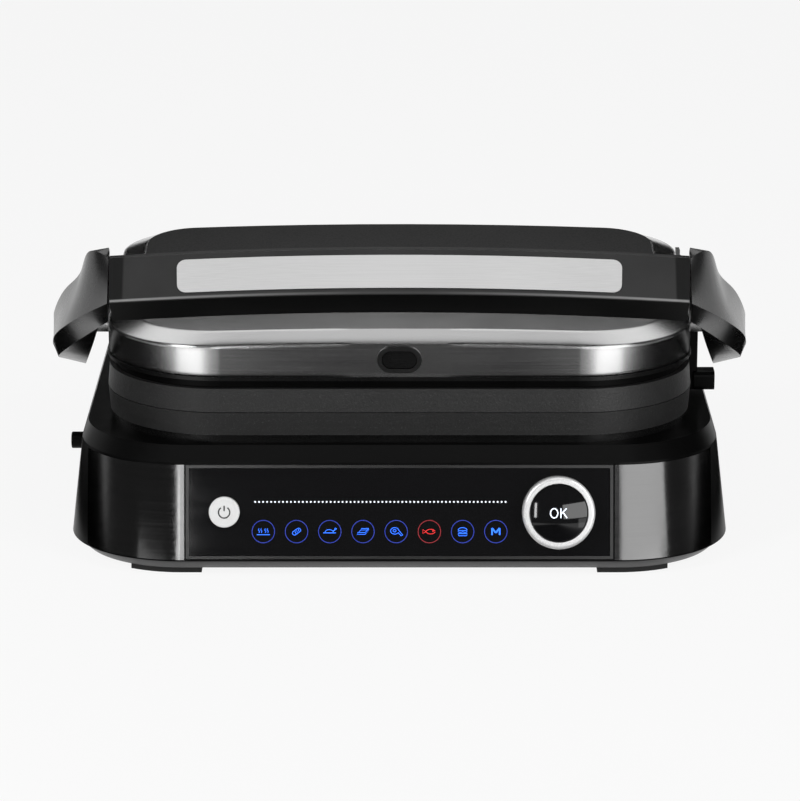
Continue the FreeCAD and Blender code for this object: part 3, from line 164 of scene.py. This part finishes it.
def piece(name, body, vertices, faces, material, replaces=(), matrix=None, smooth=34.0):
    """Makes a mesh object and hangs it on a body. Edges up to smooth degrees are shaded soft."""
    mesh = bpy.data.meshes.new(name)
    mesh.from_pydata([tuple(c * MM for c in v) for v in vertices], [], faces)
    mesh.validate()
    work = bmesh.new()
    work.from_mesh(mesh)
    bmesh.ops.remove_doubles(work, verts=work.verts, dist=WELD)
    bmesh.ops.recalc_face_normals(work, faces=work.faces)
    work.to_mesh(mesh)
    work.free()
    made = bpy.data.objects.new(name, mesh)
    bpy.context.collection.objects.link(made)
    if matrix is not None:
        made.matrix_world = matrix
    mesh.materials.append(material)
    mesh.shade_smooth()
    mesh.set_sharp_from_angle(angle=math.radians(smooth))
    if replaces:
        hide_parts(*replaces)
    bpy.context.view_layer.update()
    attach(made, body)
    return made


def merge(*parts):
    """Joins (vertices, faces) lists into one."""
    vertices, faces = [], []
    for some_vertices, some_faces in parts:
        start = len(vertices)
        vertices.extend(some_vertices)
        faces.extend([tuple(i + start for i in face) for face in some_faces])
    return vertices, faces


PANEL_MATRIX = (Matrix.Translation(Vector((0, FRONT_Y + FRONT_DRAFT / 2, (LOW_Z + SHOULDER_Z) / 2)) * MM)
                @ Matrix.Rotation(math.pi / 2 - TILT, 4, "X"))


def on_panel(x, y, z):
    """Matrix of a spot on the control panel: x right, y up the slope, z out, in millimetres."""
    return PANEL_MATRIX @ Matrix.Translation(Vector((x, y, z)) * MM)


# Finishes. Lengths in them are metres, and greys are 8-bit levels.

MIDDLE, BROAD = (0.35, 0.65), (0.3, 0.7)  # ranges that hold most of a noise's values
PLASTIC_GRAIN, PLASTIC_PATCHES = 2400, 26  # noise scales
PALEST = 250
BAR_END_BAND_INNER, BAR_END_BAND_OUTER = 0.0088, 0.0076  # from the bar's end
# The rise and fall ranges here place a painted highlight: a pale line just above the bar's nose.
NOSE_BLEND, NOSE_HIGHLIGHT_RISE, NOSE_HIGHLIGHT_FALL = (0.0, 0.0008), (0.0002, 0.0007), (0.0013, 0.0018)  # above the nose line
# Distance from the middle at which the painted highlight on the bar's nose starts to grow.
NOSE_HIGHLIGHT_INNER_X = 0.02
BEZEL_CLEAR = (0.026, 0.04)  # from the middle of the lid
# Heights over which the bottom cover turns from painted shade to a painted grey reflection of the floor.
RIM_REFLECTION_BLEND = (0.0035, 0.0095)  # above the floor
CARD_BLEND = (0.095, 0.225)  # from the middle of the front card


def moulded(name, level, rough, grain=0.00005, shine=0.3):
    """Moulded plastic with a fine eroded grain and slight patches of sheen."""
    f = Finish(name)
    spot = f.place()
    fine = f.noise(spot, PLASTIC_GRAIN, 2)
    patch = f.noise(spot, PLASTIC_PATCHES, 3)
    colour = f.tint(f.fit(patch, *MIDDLE), grey(level * 0.93), grey(level * 1.07))
    sheen = f.fit(patch * 0.6 + fine * 0.4, *MIDDLE, rough - 0.05, rough + 0.06)
    return f.set(Base_Color=colour, Roughness=sheen, Specular_IOR_Level=shine,
                 Normal=f.bump(fine, 0.3, grain))


def bar_paint():
    """Dark grey lacquer with a painted highlight line above the bar's nose, black below it and in a dark band
    at each end.
    """
    f = Finish("bar_dark_grey")
    spot = f.place()
    at = nodes["handle_bar"].matrix_world.translation
    x = f.axis(spot, "X") + at.x
    arch = x * x * (4 * BAR_ARCH / (BAR_LENGTH ** 2 * MM))
    over = f.axis(spot, "Z") + arch - (BAR_NOSE_Z * MM - at.z)
    fine = f.noise(spot, PLASTIC_GRAIN, 2)
    face = f.tint(f.fit(f.noise(spot, PLASTIC_PATCHES, 3), *MIDDLE), grey(43), grey(49))
    edge = BAR_LENGTH / 2 * MM
    # A darker band at each end of the bar.
    end_band = f.fit(abs(x), edge - BAR_END_BAND_INNER, edge - BAR_END_BAND_OUTER)
    face = f.tint(end_band, face, grey(10))
    # Painted highlight: a pale line just above the nose, stronger toward the bar's ends.
    painted_nose_highlight = f.fit(over, *NOSE_HIGHLIGHT_RISE) * (1 - f.fit(over, *NOSE_HIGHLIGHT_FALL))
    face = f.tint(painted_nose_highlight * f.fit(abs(x), NOSE_HIGHLIGHT_INNER_X, edge, 0.06, 0.6), face, grey(170))
    return f.set(Base_Color=f.tint(f.fit(over, *NOSE_BLEND), grey(7), face),
                 Roughness=f.fit(fine, *MIDDLE, 0.36, 0.46), Normal=f.bump(fine, 0.3, 0.00004),
                 Specular_IOR_Level=0.2)


def brushed(name, level, rough, stretch, depth=0.000012, edge=0.0):
    """Brushed metal. stretch scales the object axes, small along the brush lines.

    edge is the radius that its folds seem to have, away from the bezel in the middle.
    """
    f = Finish(name)
    lines = f.noise(f.place(stretch), 1.0, 3, 0.6)
    patch = f.noise(f.place(), 14, 2)
    colour = f.tint(f.fit(lines, *BROAD), grey(level * 0.97), grey(min(level * 1.03, PALEST)))
    sheen = f.fit(lines * 0.7 + patch * 0.3, *MIDDLE, rough - 0.03, rough + 0.04)
    grain = f.bump(lines, 0.1, depth)
    if edge:
        fold = f.node("ShaderNodeBevel", {"samples": 8}, {"Radius": edge, "Normal": grain})
        x = f.axis(f.place(), "X")
        away = f.fit(abs(x), *BEZEL_CLEAR)
        grain = f.node("ShaderNodeMix", {"data_type": "VECTOR"}, {0: away, 4: grain, 5: fold}, out=1)
    return f.set(Base_Color=colour, Metallic=1.0, Roughness=sheen, Normal=grain)


def cast_coating():
    """Non-stick coat on cast metal: sand-cast relief under a speckled skin."""
    f = Finish("plate_cast_coating")
    spot = f.place()
    sand = f.noise(spot, 900, 4, 0.62)
    pits = f.cells(spot, 620)
    flecks = f.fit(f.noise(spot, 3100, 1), 0.66, 0.72)
    colour = f.tint(flecks * 0.55, grey(45), grey(120))
    patch = f.fit(f.noise(spot, 60, 3), *BROAD)
    relief = sand * 0.7 + pits * 0.5
    return f.set(Base_Color=f.tint(patch * 0.25, colour, grey(34)), Metallic=0.35,
                 Roughness=f.fit(sand, *BROAD, 0.36, 0.52), Normal=f.bump(relief, 0.55, 0.00022))


def gunmetal_paint():
    """Satin metallic paint with fine flakes."""
    f = Finish("arm_gunmetal")
    spot = f.place()
    flake = f.node("ShaderNodeTexVoronoi", {"feature": "F1"}, {"Vector": spot, "Scale": 3800}, out=1)
    lightness = f.node("ShaderNodeRGBToBW", inputs={0: flake})
    cloud = f.noise(spot, 30, 3)
    colour = f.tint(f.fit(lightness, 0.2, 0.8), grey(66), grey(80))
    return f.set(Base_Color=colour, Metallic=0.9, Roughness=f.fit(cloud, *BROAD, 0.24, 0.31),
                 Normal=f.bump(lightness, 0.02, 0.00002), Coat_Weight=0.1, Coat_Roughness=0.25)


def dark_lacquer():
    """Anthracite lacquer of the lid's top panel, with a fine leather-like grain."""
    f = Finish("top_panel_lacquer")
    spot = f.place()
    grain = f.cells(spot, 950, "SMOOTH_F1")
    cloud = f.noise(spot, 12, 3)
    colour = f.tint(f.fit(cloud, *BROAD), grey(42), grey(49))
    return f.set(Base_Color=colour, Roughness=f.fit(grain + cloud * 0.3, 0.2, 0.9, 0.42, 0.54),
                 Normal=f.bump(grain, 0.2, 0.00004), Metallic=0.25, Specular_IOR_Level=0.2)


def black_glass():
    """Polished black panel with the faint smears of wiping."""
    f = Finish("panel_black_glass")
    spot = f.place((9, 40, 40))
    smear = f.noise(spot, 1.5, 4, 0.6)
    dust = f.fit(f.noise(f.place(), 1900, 1), 0.7, 0.74)
    return f.set(Base_Color=f.tint(dust * 0.12, (0.0035, 0.0035, 0.004), (0.05, 0.05, 0.05)),
                 Roughness=f.fit(smear, 0.35, 0.7, 0.03, 0.07), Specular_IOR_Level=0.5)


def rubber():
    """Dull dark rubber."""
    f = Finish("foot_rubber")
    spot = f.place()
    fine = f.noise(spot, 1500, 3)
    return f.set(Base_Color=f.tint(f.fit(fine, *BROAD), grey(20), grey(30)),
                 Roughness=f.fit(fine, *BROAD, 0.75, 0.9), Normal=f.bump(fine, 0.4, 0.00008))


def spun(name, level, rough):
    """Satin plated metal with fine turned rings."""
    f = Finish(name)
    spot = f.place()
    x, y = f.axis(spot, "X"), f.axis(spot, "Y")
    radius = (x * x + y * y) ** 0.5
    rings = f.node("ShaderNodeTexNoise", {"noise_dimensions": "1D"},
                   {"W": radius * 9000.0, "Scale": 1.0, "Detail": 2.0})
    colour = f.tint(f.fit(rings, *BROAD), grey(level * 0.94), grey(min(level * 1.04, PALEST)))
    sheen = f.fit(rings, *BROAD, rough - 0.04, rough + 0.06)
    return f.set(Base_Color=colour, Metallic=0.4, Roughness=sheen, Normal=f.bump(rings, 0.12, 0.00001))


def satin_white():
    """White button cap with a faint painted glow that brightens it."""
    f = Finish("power_button_white")
    spot = f.place()
    fine = f.noise(spot, 2600, 2)
    return f.set(Base_Color=f.tint(f.fit(fine, *BROAD), grey(212), grey(222)), Metallic=0.05,
                 Roughness=f.fit(fine, *BROAD, 0.28, 0.36), Normal=f.bump(fine, 0.1, 0.00002),
                 Emission_Color=(1, 1, 1), Emission_Strength=0.06)


def cover_reflection_paint():
    """Bottom cover: black as painted shade under the housing, grey toward its lower edge as a painted
    reflection of the pale floor.
    """
    f = Finish("cover_painted_floor_reflection")
    spot = f.place()
    up = f.axis(spot, "Z") + nodes["bottom_cover"].matrix_world.translation.z
    fine = f.noise(spot, PLASTIC_GRAIN, 2)
    return f.set(Base_Color=f.tint(f.fit(up, *RIM_REFLECTION_BLEND), grey(112), grey(10)), Specular_IOR_Level=0.2,
                 Roughness=f.fit(fine, *MIDDLE, 0.36, 0.46), Normal=f.bump(fine, 0.3, 0.00004))


def card_black():
    """Matt black of the studio cards."""
    f = Finish("studio_card_black")
    fine = f.noise(f.place(), 40, 2)
    return f.set(Base_Color=f.tint(fine, (0.003, 0.003, 0.003), (0.006, 0.006, 0.006)), Roughness=0.95,
                 Specular_IOR_Level=0.0)


def card_graded():
    """Front card: black in the middle, paler to both sides, so that the lid's band shades off."""
    f = Finish("studio_card_graded")
    x = f.axis(f.place(), "X")
    side = f.fit(abs(x), *CARD_BLEND)
    glow = f.tint(side * side, (0.035, 0.035, 0.035), (0.95, 0.95, 0.95))
    return f.set(Base_Color=(0.004, 0.004, 0.004), Roughness=0.95, Specular_IOR_Level=0.0,
                 Emission_Color=glow, Emission_Strength=1.0)


def printed(name, colour, strength):
    """Print or light guide that glows a little unevenly; a strength of 0 is plain ink."""
    f = Finish(name)
    spot = f.place()
    flicker = f.fit(f.noise(spot, 420, 2), *BROAD, 0.86, 1.0)
    lit = f.tint(flicker, tuple(c * 0.8 for c in colour), colour)
    return f.set(Base_Color=lit, Roughness=0.4, Emission_Color=lit, Emission_Strength=strength)


def circuit_board():
    """Green board lacquer: darker fields between lighter traces."""
    f = Finish("circuit_board_green")
    spot = f.place()
    traces = f.fit(f.cells(spot, 240, "DISTANCE_TO_EDGE"), 0.03, 0.05)
    fine = f.noise(spot, 900, 2)
    return f.set(Base_Color=f.tint(traces, (0.03, 0.11, 0.05), (0.012, 0.06, 0.028)),
                 Roughness=f.fit(fine, *BROAD, 0.35, 0.5))


def bright_sheet(name, level, rough):
    """Rolled bright sheet with soft ripples and light heat tint."""
    f = Finish(name)
    spot = f.place()
    ripple = f.noise(f.place((30, 220, 120)), 1.0, 3)
    stain = f.fit(f.noise(spot, 22, 4), 0.5, 0.75)
    return f.set(Base_Color=f.tint(stain * 0.35, grey(level), srgb((level * 0.9, level * 0.8, level * 0.62))),
                 Metallic=1.0, Roughness=f.fit(ripple, *BROAD, rough - 0.05, rough + 0.08),
                 Normal=f.bump(ripple, 0.15, 0.00005))


LOOK = {
    "cover_painted_reflection": cover_reflection_paint(),
    "card": card_black(),
    "card_graded": card_graded(),
    "black": moulded("housing_black", 6, 0.32, 0.00003, 0.08),
    "black_gloss": moulded("trim_black", 12, 0.26, 0.00002),
    "bar": bar_paint(),
    "cover": moulded("cover_grey", 96, 0.42, 0.00004),
    "steel_lid": brushed("lid_steel", 200, 0.19, (12, 3200, 3200), 0.000008, edge=0.0028),
    "steel_fascia": brushed("fascia_black_steel", 82, 0.12, (10, 10, 2600), 0.000002),
    "silver": brushed("inlay_silver", 206, 0.34, (12, 3400, 3400), 0.000006),
    "steel": brushed("machined_steel", 170, 0.28, (900, 60, 900)),
    "frame": brushed("frame_grey_steel", 74, 0.3, (20, 1500, 1500)),
    "cast": cast_coating(),
    "gunmetal": gunmetal_paint(),
    "lacquer": dark_lacquer(),
    "glass": black_glass(),
    "rubber": rubber(),
    "dial": spun("dial_silver", 240, 0.3),
    "white": satin_white(),
    "sheet": bright_sheet("reflector_sheet", 205, 0.22),
    "element": bright_sheet("element_sheath", 96, 0.5),
    "board": circuit_board(),
    "blue_light": printed("icon_light_blue", (0.02, 0.16, 1.0), 1.2),
    "ring_blue": printed("ring_light_blue", (0.012, 0.03, 0.3), 0.75),
    "ring_red": printed("ring_light_red", (0.22, 0.01, 0.015), 0.75),
    "dot_light": printed("dot_light_white", (0.7, 0.74, 0.8), 0.8),
    "white_light": printed("icon_light_white", (0.82, 0.9, 1.0), 0.9),
    "red_light": printed("icon_light_red", (0.75, 0.02, 0.02), 0.8),
    "dark_print": printed("symbol_dark_print", (0.015, 0.015, 0.016), 0.0),
    "diffuser": printed("light_guide_milky", (0.5, 0.6, 0.75), 0.05),
}

DRESS = {
    "black": ["base_housing", "panel_carrier", "power_switch", "lid_base", "right_hinge_post",
              "left_hinge_post", "right_hinge_slider", "left_hinge_slider", "storage_latch", "release_knob",
              "knob_bracket", "drip_tray", "drain_funnel", "release_guide"],
    "black_gloss": ["plate_collar", "lid_trim", "release_button"],
    "bar": ["handle_bar", "handle_back"],
    "cover_painted_reflection": ["bottom_cover"],
    "cover": ["hinge_release_slide"],
    "steel_lid": ["lid_shell"],
    "steel_fascia": ["left_steel_fascia", "right_steel_fascia"],
    "silver": ["handle_inlay"],
    "steel": ["cover_screws", "dial_encoder", "handle_screws", "arm_pins", "post_screws", "hinge_shaft",
              "latch_pin", "knob_spring", "lower_heat_sensor", "upper_heat_sensor"],
    "frame": ["panel_frame", "release_bezel"],
    "cast": ["lower_plate", "upper_plate"],
    "gunmetal": ["right_arm", "left_arm"],
    "lacquer": ["lid_top_panel"],
    "glass": ["control_panel", "ok_button"],
    "rubber": ["rubber_feet", "cord_gland"],
    "dial": ["dial_ring"],
    "white": ["power_button"],
    "sheet": ["lower_reflector", "upper_reflector", "lower_element_clips", "upper_element_clips"],
    "element": ["lower_heating_element", "upper_heating_element"],
    "board": ["control_board", "power_board"],
    "diffuser": ["mode_light_guides", "dot_light_bar"],
}
for look, names in DRESS.items():
    for name in names:
        for slot in nodes[name].material_slots:
            slot.material = LOOK[look]


# Softened edges on the solids that stay as they are, by width in millimetres

EDGE_SEGMENTS, EDGE_ANGLE = 3, math.radians(32)
EDGES = {
    0.2: ["control_panel"],
    0.25: ["left_steel_fascia", "right_steel_fascia", "panel_frame", "handle_inlay"],
    0.3: ["cover_screws"],
    0.4: ["lid_top_panel", "latch_pin", "arm_pins", "handle_screws", "drain_funnel"],
    0.5: ["release_bezel", "rubber_feet", "cord_gland"],
    0.6: ["lid_base", "lid_trim", "hinge_release_slide", "storage_latch", "drip_tray"],
    0.8: ["bottom_cover", "plate_collar", "release_button", "handle_back", "right_hinge_post",
          "left_hinge_post", "right_hinge_slider", "left_hinge_slider"],
    0.9: ["lower_plate", "upper_plate"],
    1.4: ["lid_shell"],
    1.6: ["base_housing", "right_arm", "left_arm"],
    1.8: ["handle_bar"],
}
for width, names in EDGES.items():
    for name in names:
        soft = nodes[name].modifiers.new("soft_edges", "BEVEL")
        soft.width, soft.segments, soft.limit_method = width * MM, EDGE_SEGMENTS, "ANGLE"
        soft.angle_limit, soft.harden_normals = EDGE_ANGLE, True
        soft.use_clamp_overlap = True


# What the control panel shows: flat marks just above the glass, as (x, y) paths in millimetres

def stroke(points, width, closed=False):
    """Flat band along a path, with its ends square."""
    count = len(points)
    left, right = [], []
    for i, (x, y) in enumerate(points):
        ahead = points[(i + 1) % count] if closed or i + 1 < count else points[i]
        back = points[i - 1] if closed or i else points[i]
        run = Vector((ahead[0] - back[0], ahead[1] - back[1])).normalized() * width / 2
        left.append((x - run.y, y + run.x, 0.0))
        right.append((x + run.y, y - run.x, 0.0))
    steps = range(count if closed else count - 1)
    faces = [(i, (i + 1) % count, count + (i + 1) % count, count + i) for i in steps]
    return left + right, faces


def arc(x, y, rx, ry, start, end, steps=20):
    """Points on a stretch of an ellipse, with its angles in degrees."""
    return [(x + rx * math.cos(math.radians(start + (end - start) * i / steps)),
             y + ry * math.sin(math.radians(start + (end - start) * i / steps))) for i in range(steps + 1)]


def ring(x, y, rx, ry, width, steps=40):
    """Closed band along an ellipse."""
    return stroke(arc(x, y, rx, ry, 0, 360, steps)[:-1], width, True)


def blob(points):
    """Flat filled outline."""
    return [(x, y, 0.0) for x, y in points], [tuple(range(len(points)))]


def marks(name, body, x, y, z, material, parts):
    """One piece of flat marks at a spot on the panel, z above its face."""
    vertices, faces = merge(*parts)
    return piece(name, body, vertices, faces, material, matrix=on_panel(x, y, z))


def slanted(points, turn=35.0):
    """Points turned about the middle, in degrees."""
    c, s = math.cos(math.radians(turn)), math.sin(math.radians(turn))
    return [(x * c - y * s, x * s + y * c) for x, y in points]


# Plain pictures for the modes, each inside a circle about 6 mm in radius

THIN, PLATE_LINE, LETTER = 0.34, 0.4, 0.85  # stroke widths
PICTURES = [
    # Heat over a plate
    [stroke([(-3.6, -1.7), (3.6, -1.7)], PLATE_LINE)]
    + [stroke([(x, -0.7), (x + 0.35, 0.1), (x - 0.35, 0.9), (x, 1.7)], THIN) for x in (-2.4, -1.1, 1.1, 2.4)],
    # Sausage
    [stroke(slanted(arc(1.4, 0, 1.1, 1.1, -90, 90, 10) + arc(-1.4, 0, 1.1, 1.1, 90, 270, 10)), THIN, True)]
    + [stroke(slanted([(x, -0.6), (x + 0.4, 0.6)]), THIN) for x in (-1.0, 0.1, 1.2)],
    # Poultry
    [stroke(arc(-0.3, -0.5, 2.3, 1.6, 0, 180, 18), THIN), stroke([(-3.6, -0.7), (3.4, -0.7)], PLATE_LINE),
     stroke([(1.9, 0.2), (3.0, 1.2)], 0.5), ring(3.2, 1.5, 0.4, 0.4, THIN, 14)],
    # Slices
    [stroke([(-3.3, -1.5), (1.2, -1.5), (3.3, 0.9), (-1.2, 0.9)], THIN, True),
     stroke([(-3.0, -0.5), (1.3, -0.5), (3.0, 1.6)], THIN), stroke([(-1.0, 1.7), (3.2, 1.7)], THIN)],
    # Steak
    [stroke(arc(-0.8, 0.4, 2.3, 1.8, 20, 330, 26), THIN), stroke([(1.2, 1.0), (3.6, -1.9)], THIN),
     ring(-0.9, 0.5, 0.8, 0.7, THIN, 18), stroke([(1.0, -0.5), (2.7, -2.3), (3.6, -1.9)], THIN)],
    # Fish
    [stroke(arc(0.7, -1.3, 3.1, 2.6, 38, 148, 18), THIN),
     stroke(arc(0.7, 1.3, 3.1, 2.6, -148, -38, 18), THIN),
     stroke([(-2.0, 0.1), (-3.6, 1.1), (-3.6, -1.1), (-2.0, -0.1)], THIN),
     ring(2.0, 0.3, 0.25, 0.25, THIN, 10)],
    # Bun with filling
    [stroke(arc(0, 0.9, 2.4, 1.3, 0, 180, 18) + [(-2.4, 0.6), (2.4, 0.6)], THIN),
     stroke([(-2.6, -0.1), (-1.3, -0.5), (0, -0.1), (1.3, -0.5), (2.6, -0.1)], THIN),
     stroke([(-2.5, -1.1), (2.5, -1.1)], PLATE_LINE),
     stroke([(-2.4, -1.6), (-2.1, -2.3), (2.1, -2.3), (2.4, -1.6)], THIN)],
    # Letter M
    [stroke([(-2.1, -1.9), (-2.1, 1.9)], LETTER), stroke([(2.1, -1.9), (2.1, 1.9)], LETTER),
     stroke([(-2.0, 1.9), (0, -0.7)], LETTER), stroke([(0, -0.7), (2.0, 1.9)], LETTER)],
]
MODE_ROW, MODE_FIRST_X, MODE_PITCH, RED_MODE = -10.8, -75.0, 18.3, 5
RING_RADIUS, RING_WIDTH, RING_STEPS = 6.2, 0.4, 56
MARK_LIFT, POWER_TOP, DIAL_TOP = 0.06, 2.05, 10.62  # heights above the panel's face
for i, picture in enumerate(PICTURES):
    x = MODE_FIRST_X + MODE_PITCH * i
    shade = "red" if i == RED_MODE else "blue"
    marks(f"mode_picture_{i + 1}", "base", x, MODE_ROW, MARK_LIFT, LOOK[shade + "_light"], picture)
    marks(f"mode_ring_{i + 1}", "base", x, MODE_ROW, MARK_LIFT, LOOK["ring_" + shade],
          [ring(0, 0, RING_RADIUS, RING_RADIUS, RING_WIDTH, RING_STEPS)])

DOT_ROW, DOT_LINE_X, DOT_FIRST_X, DOT_PITCH = 5.6, -10.5, -69.0, 2.19
DOT_RADIUS, DOT_COUNT = 0.52, 64
dot_places = [DOT_FIRST_X + DOT_PITCH * i for i in range(DOT_COUNT)]
dots = [blob(arc(x, 0, DOT_RADIUS, DOT_RADIUS, 0, 330, 11)) for x in dot_places]
marks("dotted_light_line", "base", DOT_LINE_X, DOT_ROW, MARK_LIFT, LOOK["dot_light"], dots)

POWER_STROKE, WORD_STROKE, WORD_LEG = 0.75, 0.62, 0.66
marks("power_symbol", "power_button", POWER_X, 0.0, POWER_TOP, LOOK["dark_print"],
      [stroke(arc(0, -0.1, 3.1, 3.1, 125, 415, 40), POWER_STROKE),
       stroke([(0, 0.6), (0, 3.6)], POWER_STROKE)])
marks("dial_word", "ok_button", DIAL_X, 0.0, DIAL_TOP, LOOK["white_light"],
      [ring(-2.7, 0, 2.0, 2.55, WORD_STROKE, 40), stroke([(1.0, -2.7), (1.0, 2.7)], WORD_STROKE),
       stroke([(1.2, -0.35), (4.1, 2.65)], WORD_STROKE), stroke([(2.1, 0.6), (4.4, -2.65)], WORD_LEG)])


# Stage, lights and camera, in metres and watts

FLOOR_HALF, FLOOR_NEAR, FLOOR_FAR, SWEEP, BACKDROP_TOP = 14.0, -14.0, 3.6, 0.8, 7.0
BACKGROUND, SHADOW_PART = 0.975, 0.08
FLOOR_CARD_Z, REAR_CARD_Y = 0.002, 0.55
KEY_AIM = (0, -0.05, 0.1)
WORLD_STRENGTH = 0.1
SENSOR_WIDTH, LENS = 36.0, 168.75  # millimetres
CLIP_END = 50.0
LOOK_DOWN, DISTANCE, AIM = math.radians(16.0), 2.2, Vector((0.0003, 0, 0.0583))


def stage_piece(name, vertices, faces, material):
    """Mesh that belongs to the studio, not to the grill."""
    mesh = bpy.data.meshes.new(name)
    mesh.from_pydata(vertices, [], faces)
    mesh.shade_smooth()
    mesh.materials.append(material)
    made = bpy.data.objects.new(name, mesh)
    bpy.context.collection.objects.link(made)
    return made


def floor_white():
    """Matt white that camera, glossy and transmission rays see as an even background with a faint shadow."""
    f = Finish("floor_white")
    paper = f.noise(f.place(), 3.0, 2)
    f.set(Base_Color=f.tint(f.fit(paper, *BROAD), (0.84, 0.84, 0.84), (0.86, 0.86, 0.86)), Roughness=0.9,
          Specular_IOR_Level=0.1)
    path = f.tree.nodes.new("ShaderNodeLightPath")
    seen = Value(f, path.outputs["Is Camera Ray"]) + Value(f, path.outputs["Is Glossy Ray"])
    seen = seen + Value(f, path.outputs["Is Transmission Ray"])
    glow = f.tree.nodes.new("ShaderNodeEmission")
    glow.inputs["Color"].default_value = (BACKGROUND, BACKGROUND, BACKGROUND, 1)
    mix = f.tree.nodes.new("ShaderNodeMixShader")
    f.tree.links.new((seen * (1 - SHADOW_PART)).socket, mix.inputs[0])
    f.tree.links.new(f.shader.outputs[0], mix.inputs[1])
    f.tree.links.new(glow.outputs[0], mix.inputs[2])
    f.tree.links.new(mix.outputs[0], f.output.inputs[0])
    return f.material


def stage_floor():
    """Pale floor that runs up into a backdrop in one sweep."""
    turn = [math.radians(a) for a in range(6, 91, 6)]
    profile = [(FLOOR_NEAR, 0.0), (FLOOR_FAR, 0.0)]
    profile += [(FLOOR_FAR + SWEEP * math.sin(a), SWEEP - SWEEP * math.cos(a)) for a in turn]
    profile += [(FLOOR_FAR + SWEEP, BACKDROP_TOP)]
    vertices = [(x, y, z) for y, z in profile for x in (-FLOOR_HALF, FLOOR_HALF)]
    faces = [(2 * i, 2 * i + 1, 2 * i + 3, 2 * i + 2) for i in range(len(profile) - 1)]
    stage_piece("studio_floor", vertices, faces, floor_white())


def studio_card(name, x0, x1, y0, y1, z0, z1, look):
    """Studio card seen only in reflections."""
    low, high = [(x0, y0, z0), (x1, y0, z0)], [(x1, y1, z1), (x0, y1, z1)]
    card = stage_piece(name, low + high, [(0, 1, 2, 3)], LOOK[look])
    card.visible_camera = card.visible_diffuse = card.visible_shadow = False


def floor_card(name, x0, x1, y0, y1, look="card"):
    """Card that lies just above the floor."""
    studio_card(name, x0, x1, y0, y1, FLOOR_CARD_Z, FLOOR_CARD_Z, look)


def rear_card(name, x0, x1, z0, z1):
    """Card that stands behind the grill."""
    studio_card(name, x0, x1, REAR_CARD_Y, REAR_CARD_Y, z0, z1, "card")


def lamp(name, place, aim, size, power):
    """Soft rectangular lamp that the camera does not see."""
    data = bpy.data.lights.new(name, "AREA")
    data.shape, data.size, data.size_y = "RECTANGLE", size[0], size[1]
    data.energy = power
    made = bpy.data.objects.new(name, data)
    bpy.context.collection.objects.link(made)
    made.location, made.visible_camera = place, False
    made.rotation_euler = (Vector(aim) - Vector(place)).to_track_quat("-Z", "Y").to_euler()


stage_floor()
floor_card("front_card", -0.225, 0.225, -3.0, -0.15, "card_graded")
floor_card("left_card", -1.5, -0.225, -0.385, 0.25)
floor_card("right_card", 0.225, 1.5, -0.385, 0.25)
rear_card("rear_card", -0.21, 0.21, 0.16, 0.42)
rear_card("rear_left_card", -0.7, -0.215, 0.17, 0.62)
rear_card("rear_right_card", 0.215, 0.7, 0.17, 0.62)
rear_card("right_arm_card", 0.62, 1.9, 0.3, 1.5)
lamp("rear_softbox", (0, 1.0, 1.5), (0, -0.05, 0.12), (1.5, 0.75), 1.3)
lamp("inlay_softbox", (0, -0.75, 1.7), (0, -0.1, 0.15), (1.3, 0.6), 3.2)
lamp("left_key", (-1.3, -1.3, 1.4), KEY_AIM, (0.7, 0.7), 18)
lamp("right_key", (1.3, -1.3, 1.5), KEY_AIM, (1.0, 1.0), 14)
lamp("right_front", (0.86, -1.43, 0.36), (0.15, -0.1, 0.06), (1.33, 0.4), 6.6)
lamp("left_front", (-0.176, -0.8, 0.19), (-0.13, -0.1, 0.06), (0.03, 0.184), 0.24)
lamp("left_floor_light", (-0.32, -0.45, 0.004), (-0.12, -0.12, 0.11), (0.2, 0.12), 0.1)
lamp("right_floor_light", (0.32, -0.45, 0.004), (0.12, -0.12, 0.11), (0.2, 0.12), 0.1)

world = bpy.data.worlds.new("studio")
world.use_nodes = True
world.node_tree.nodes["Background"].inputs[0].default_value = (1, 1, 1, 1)
world.node_tree.nodes["Background"].inputs[1].default_value = WORLD_STRENGTH
bpy.context.scene.world = world
bpy.context.scene.view_settings.view_transform = "Standard"

camera = bpy.data.objects.new("camera", bpy.data.cameras.new("camera"))
bpy.context.collection.objects.link(camera)
camera.data.sensor_width, camera.data.lens = SENSOR_WIDTH, LENS
camera.data.clip_end = CLIP_END
camera.location = AIM + DISTANCE * Vector((0, -math.cos(LOOK_DOWN), math.sin(LOOK_DOWN)))
camera.rotation_euler = (math.pi / 2 - LOOK_DOWN, 0, 0)
bpy.context.scene.camera = camera

bpy.context.view_layer.update()
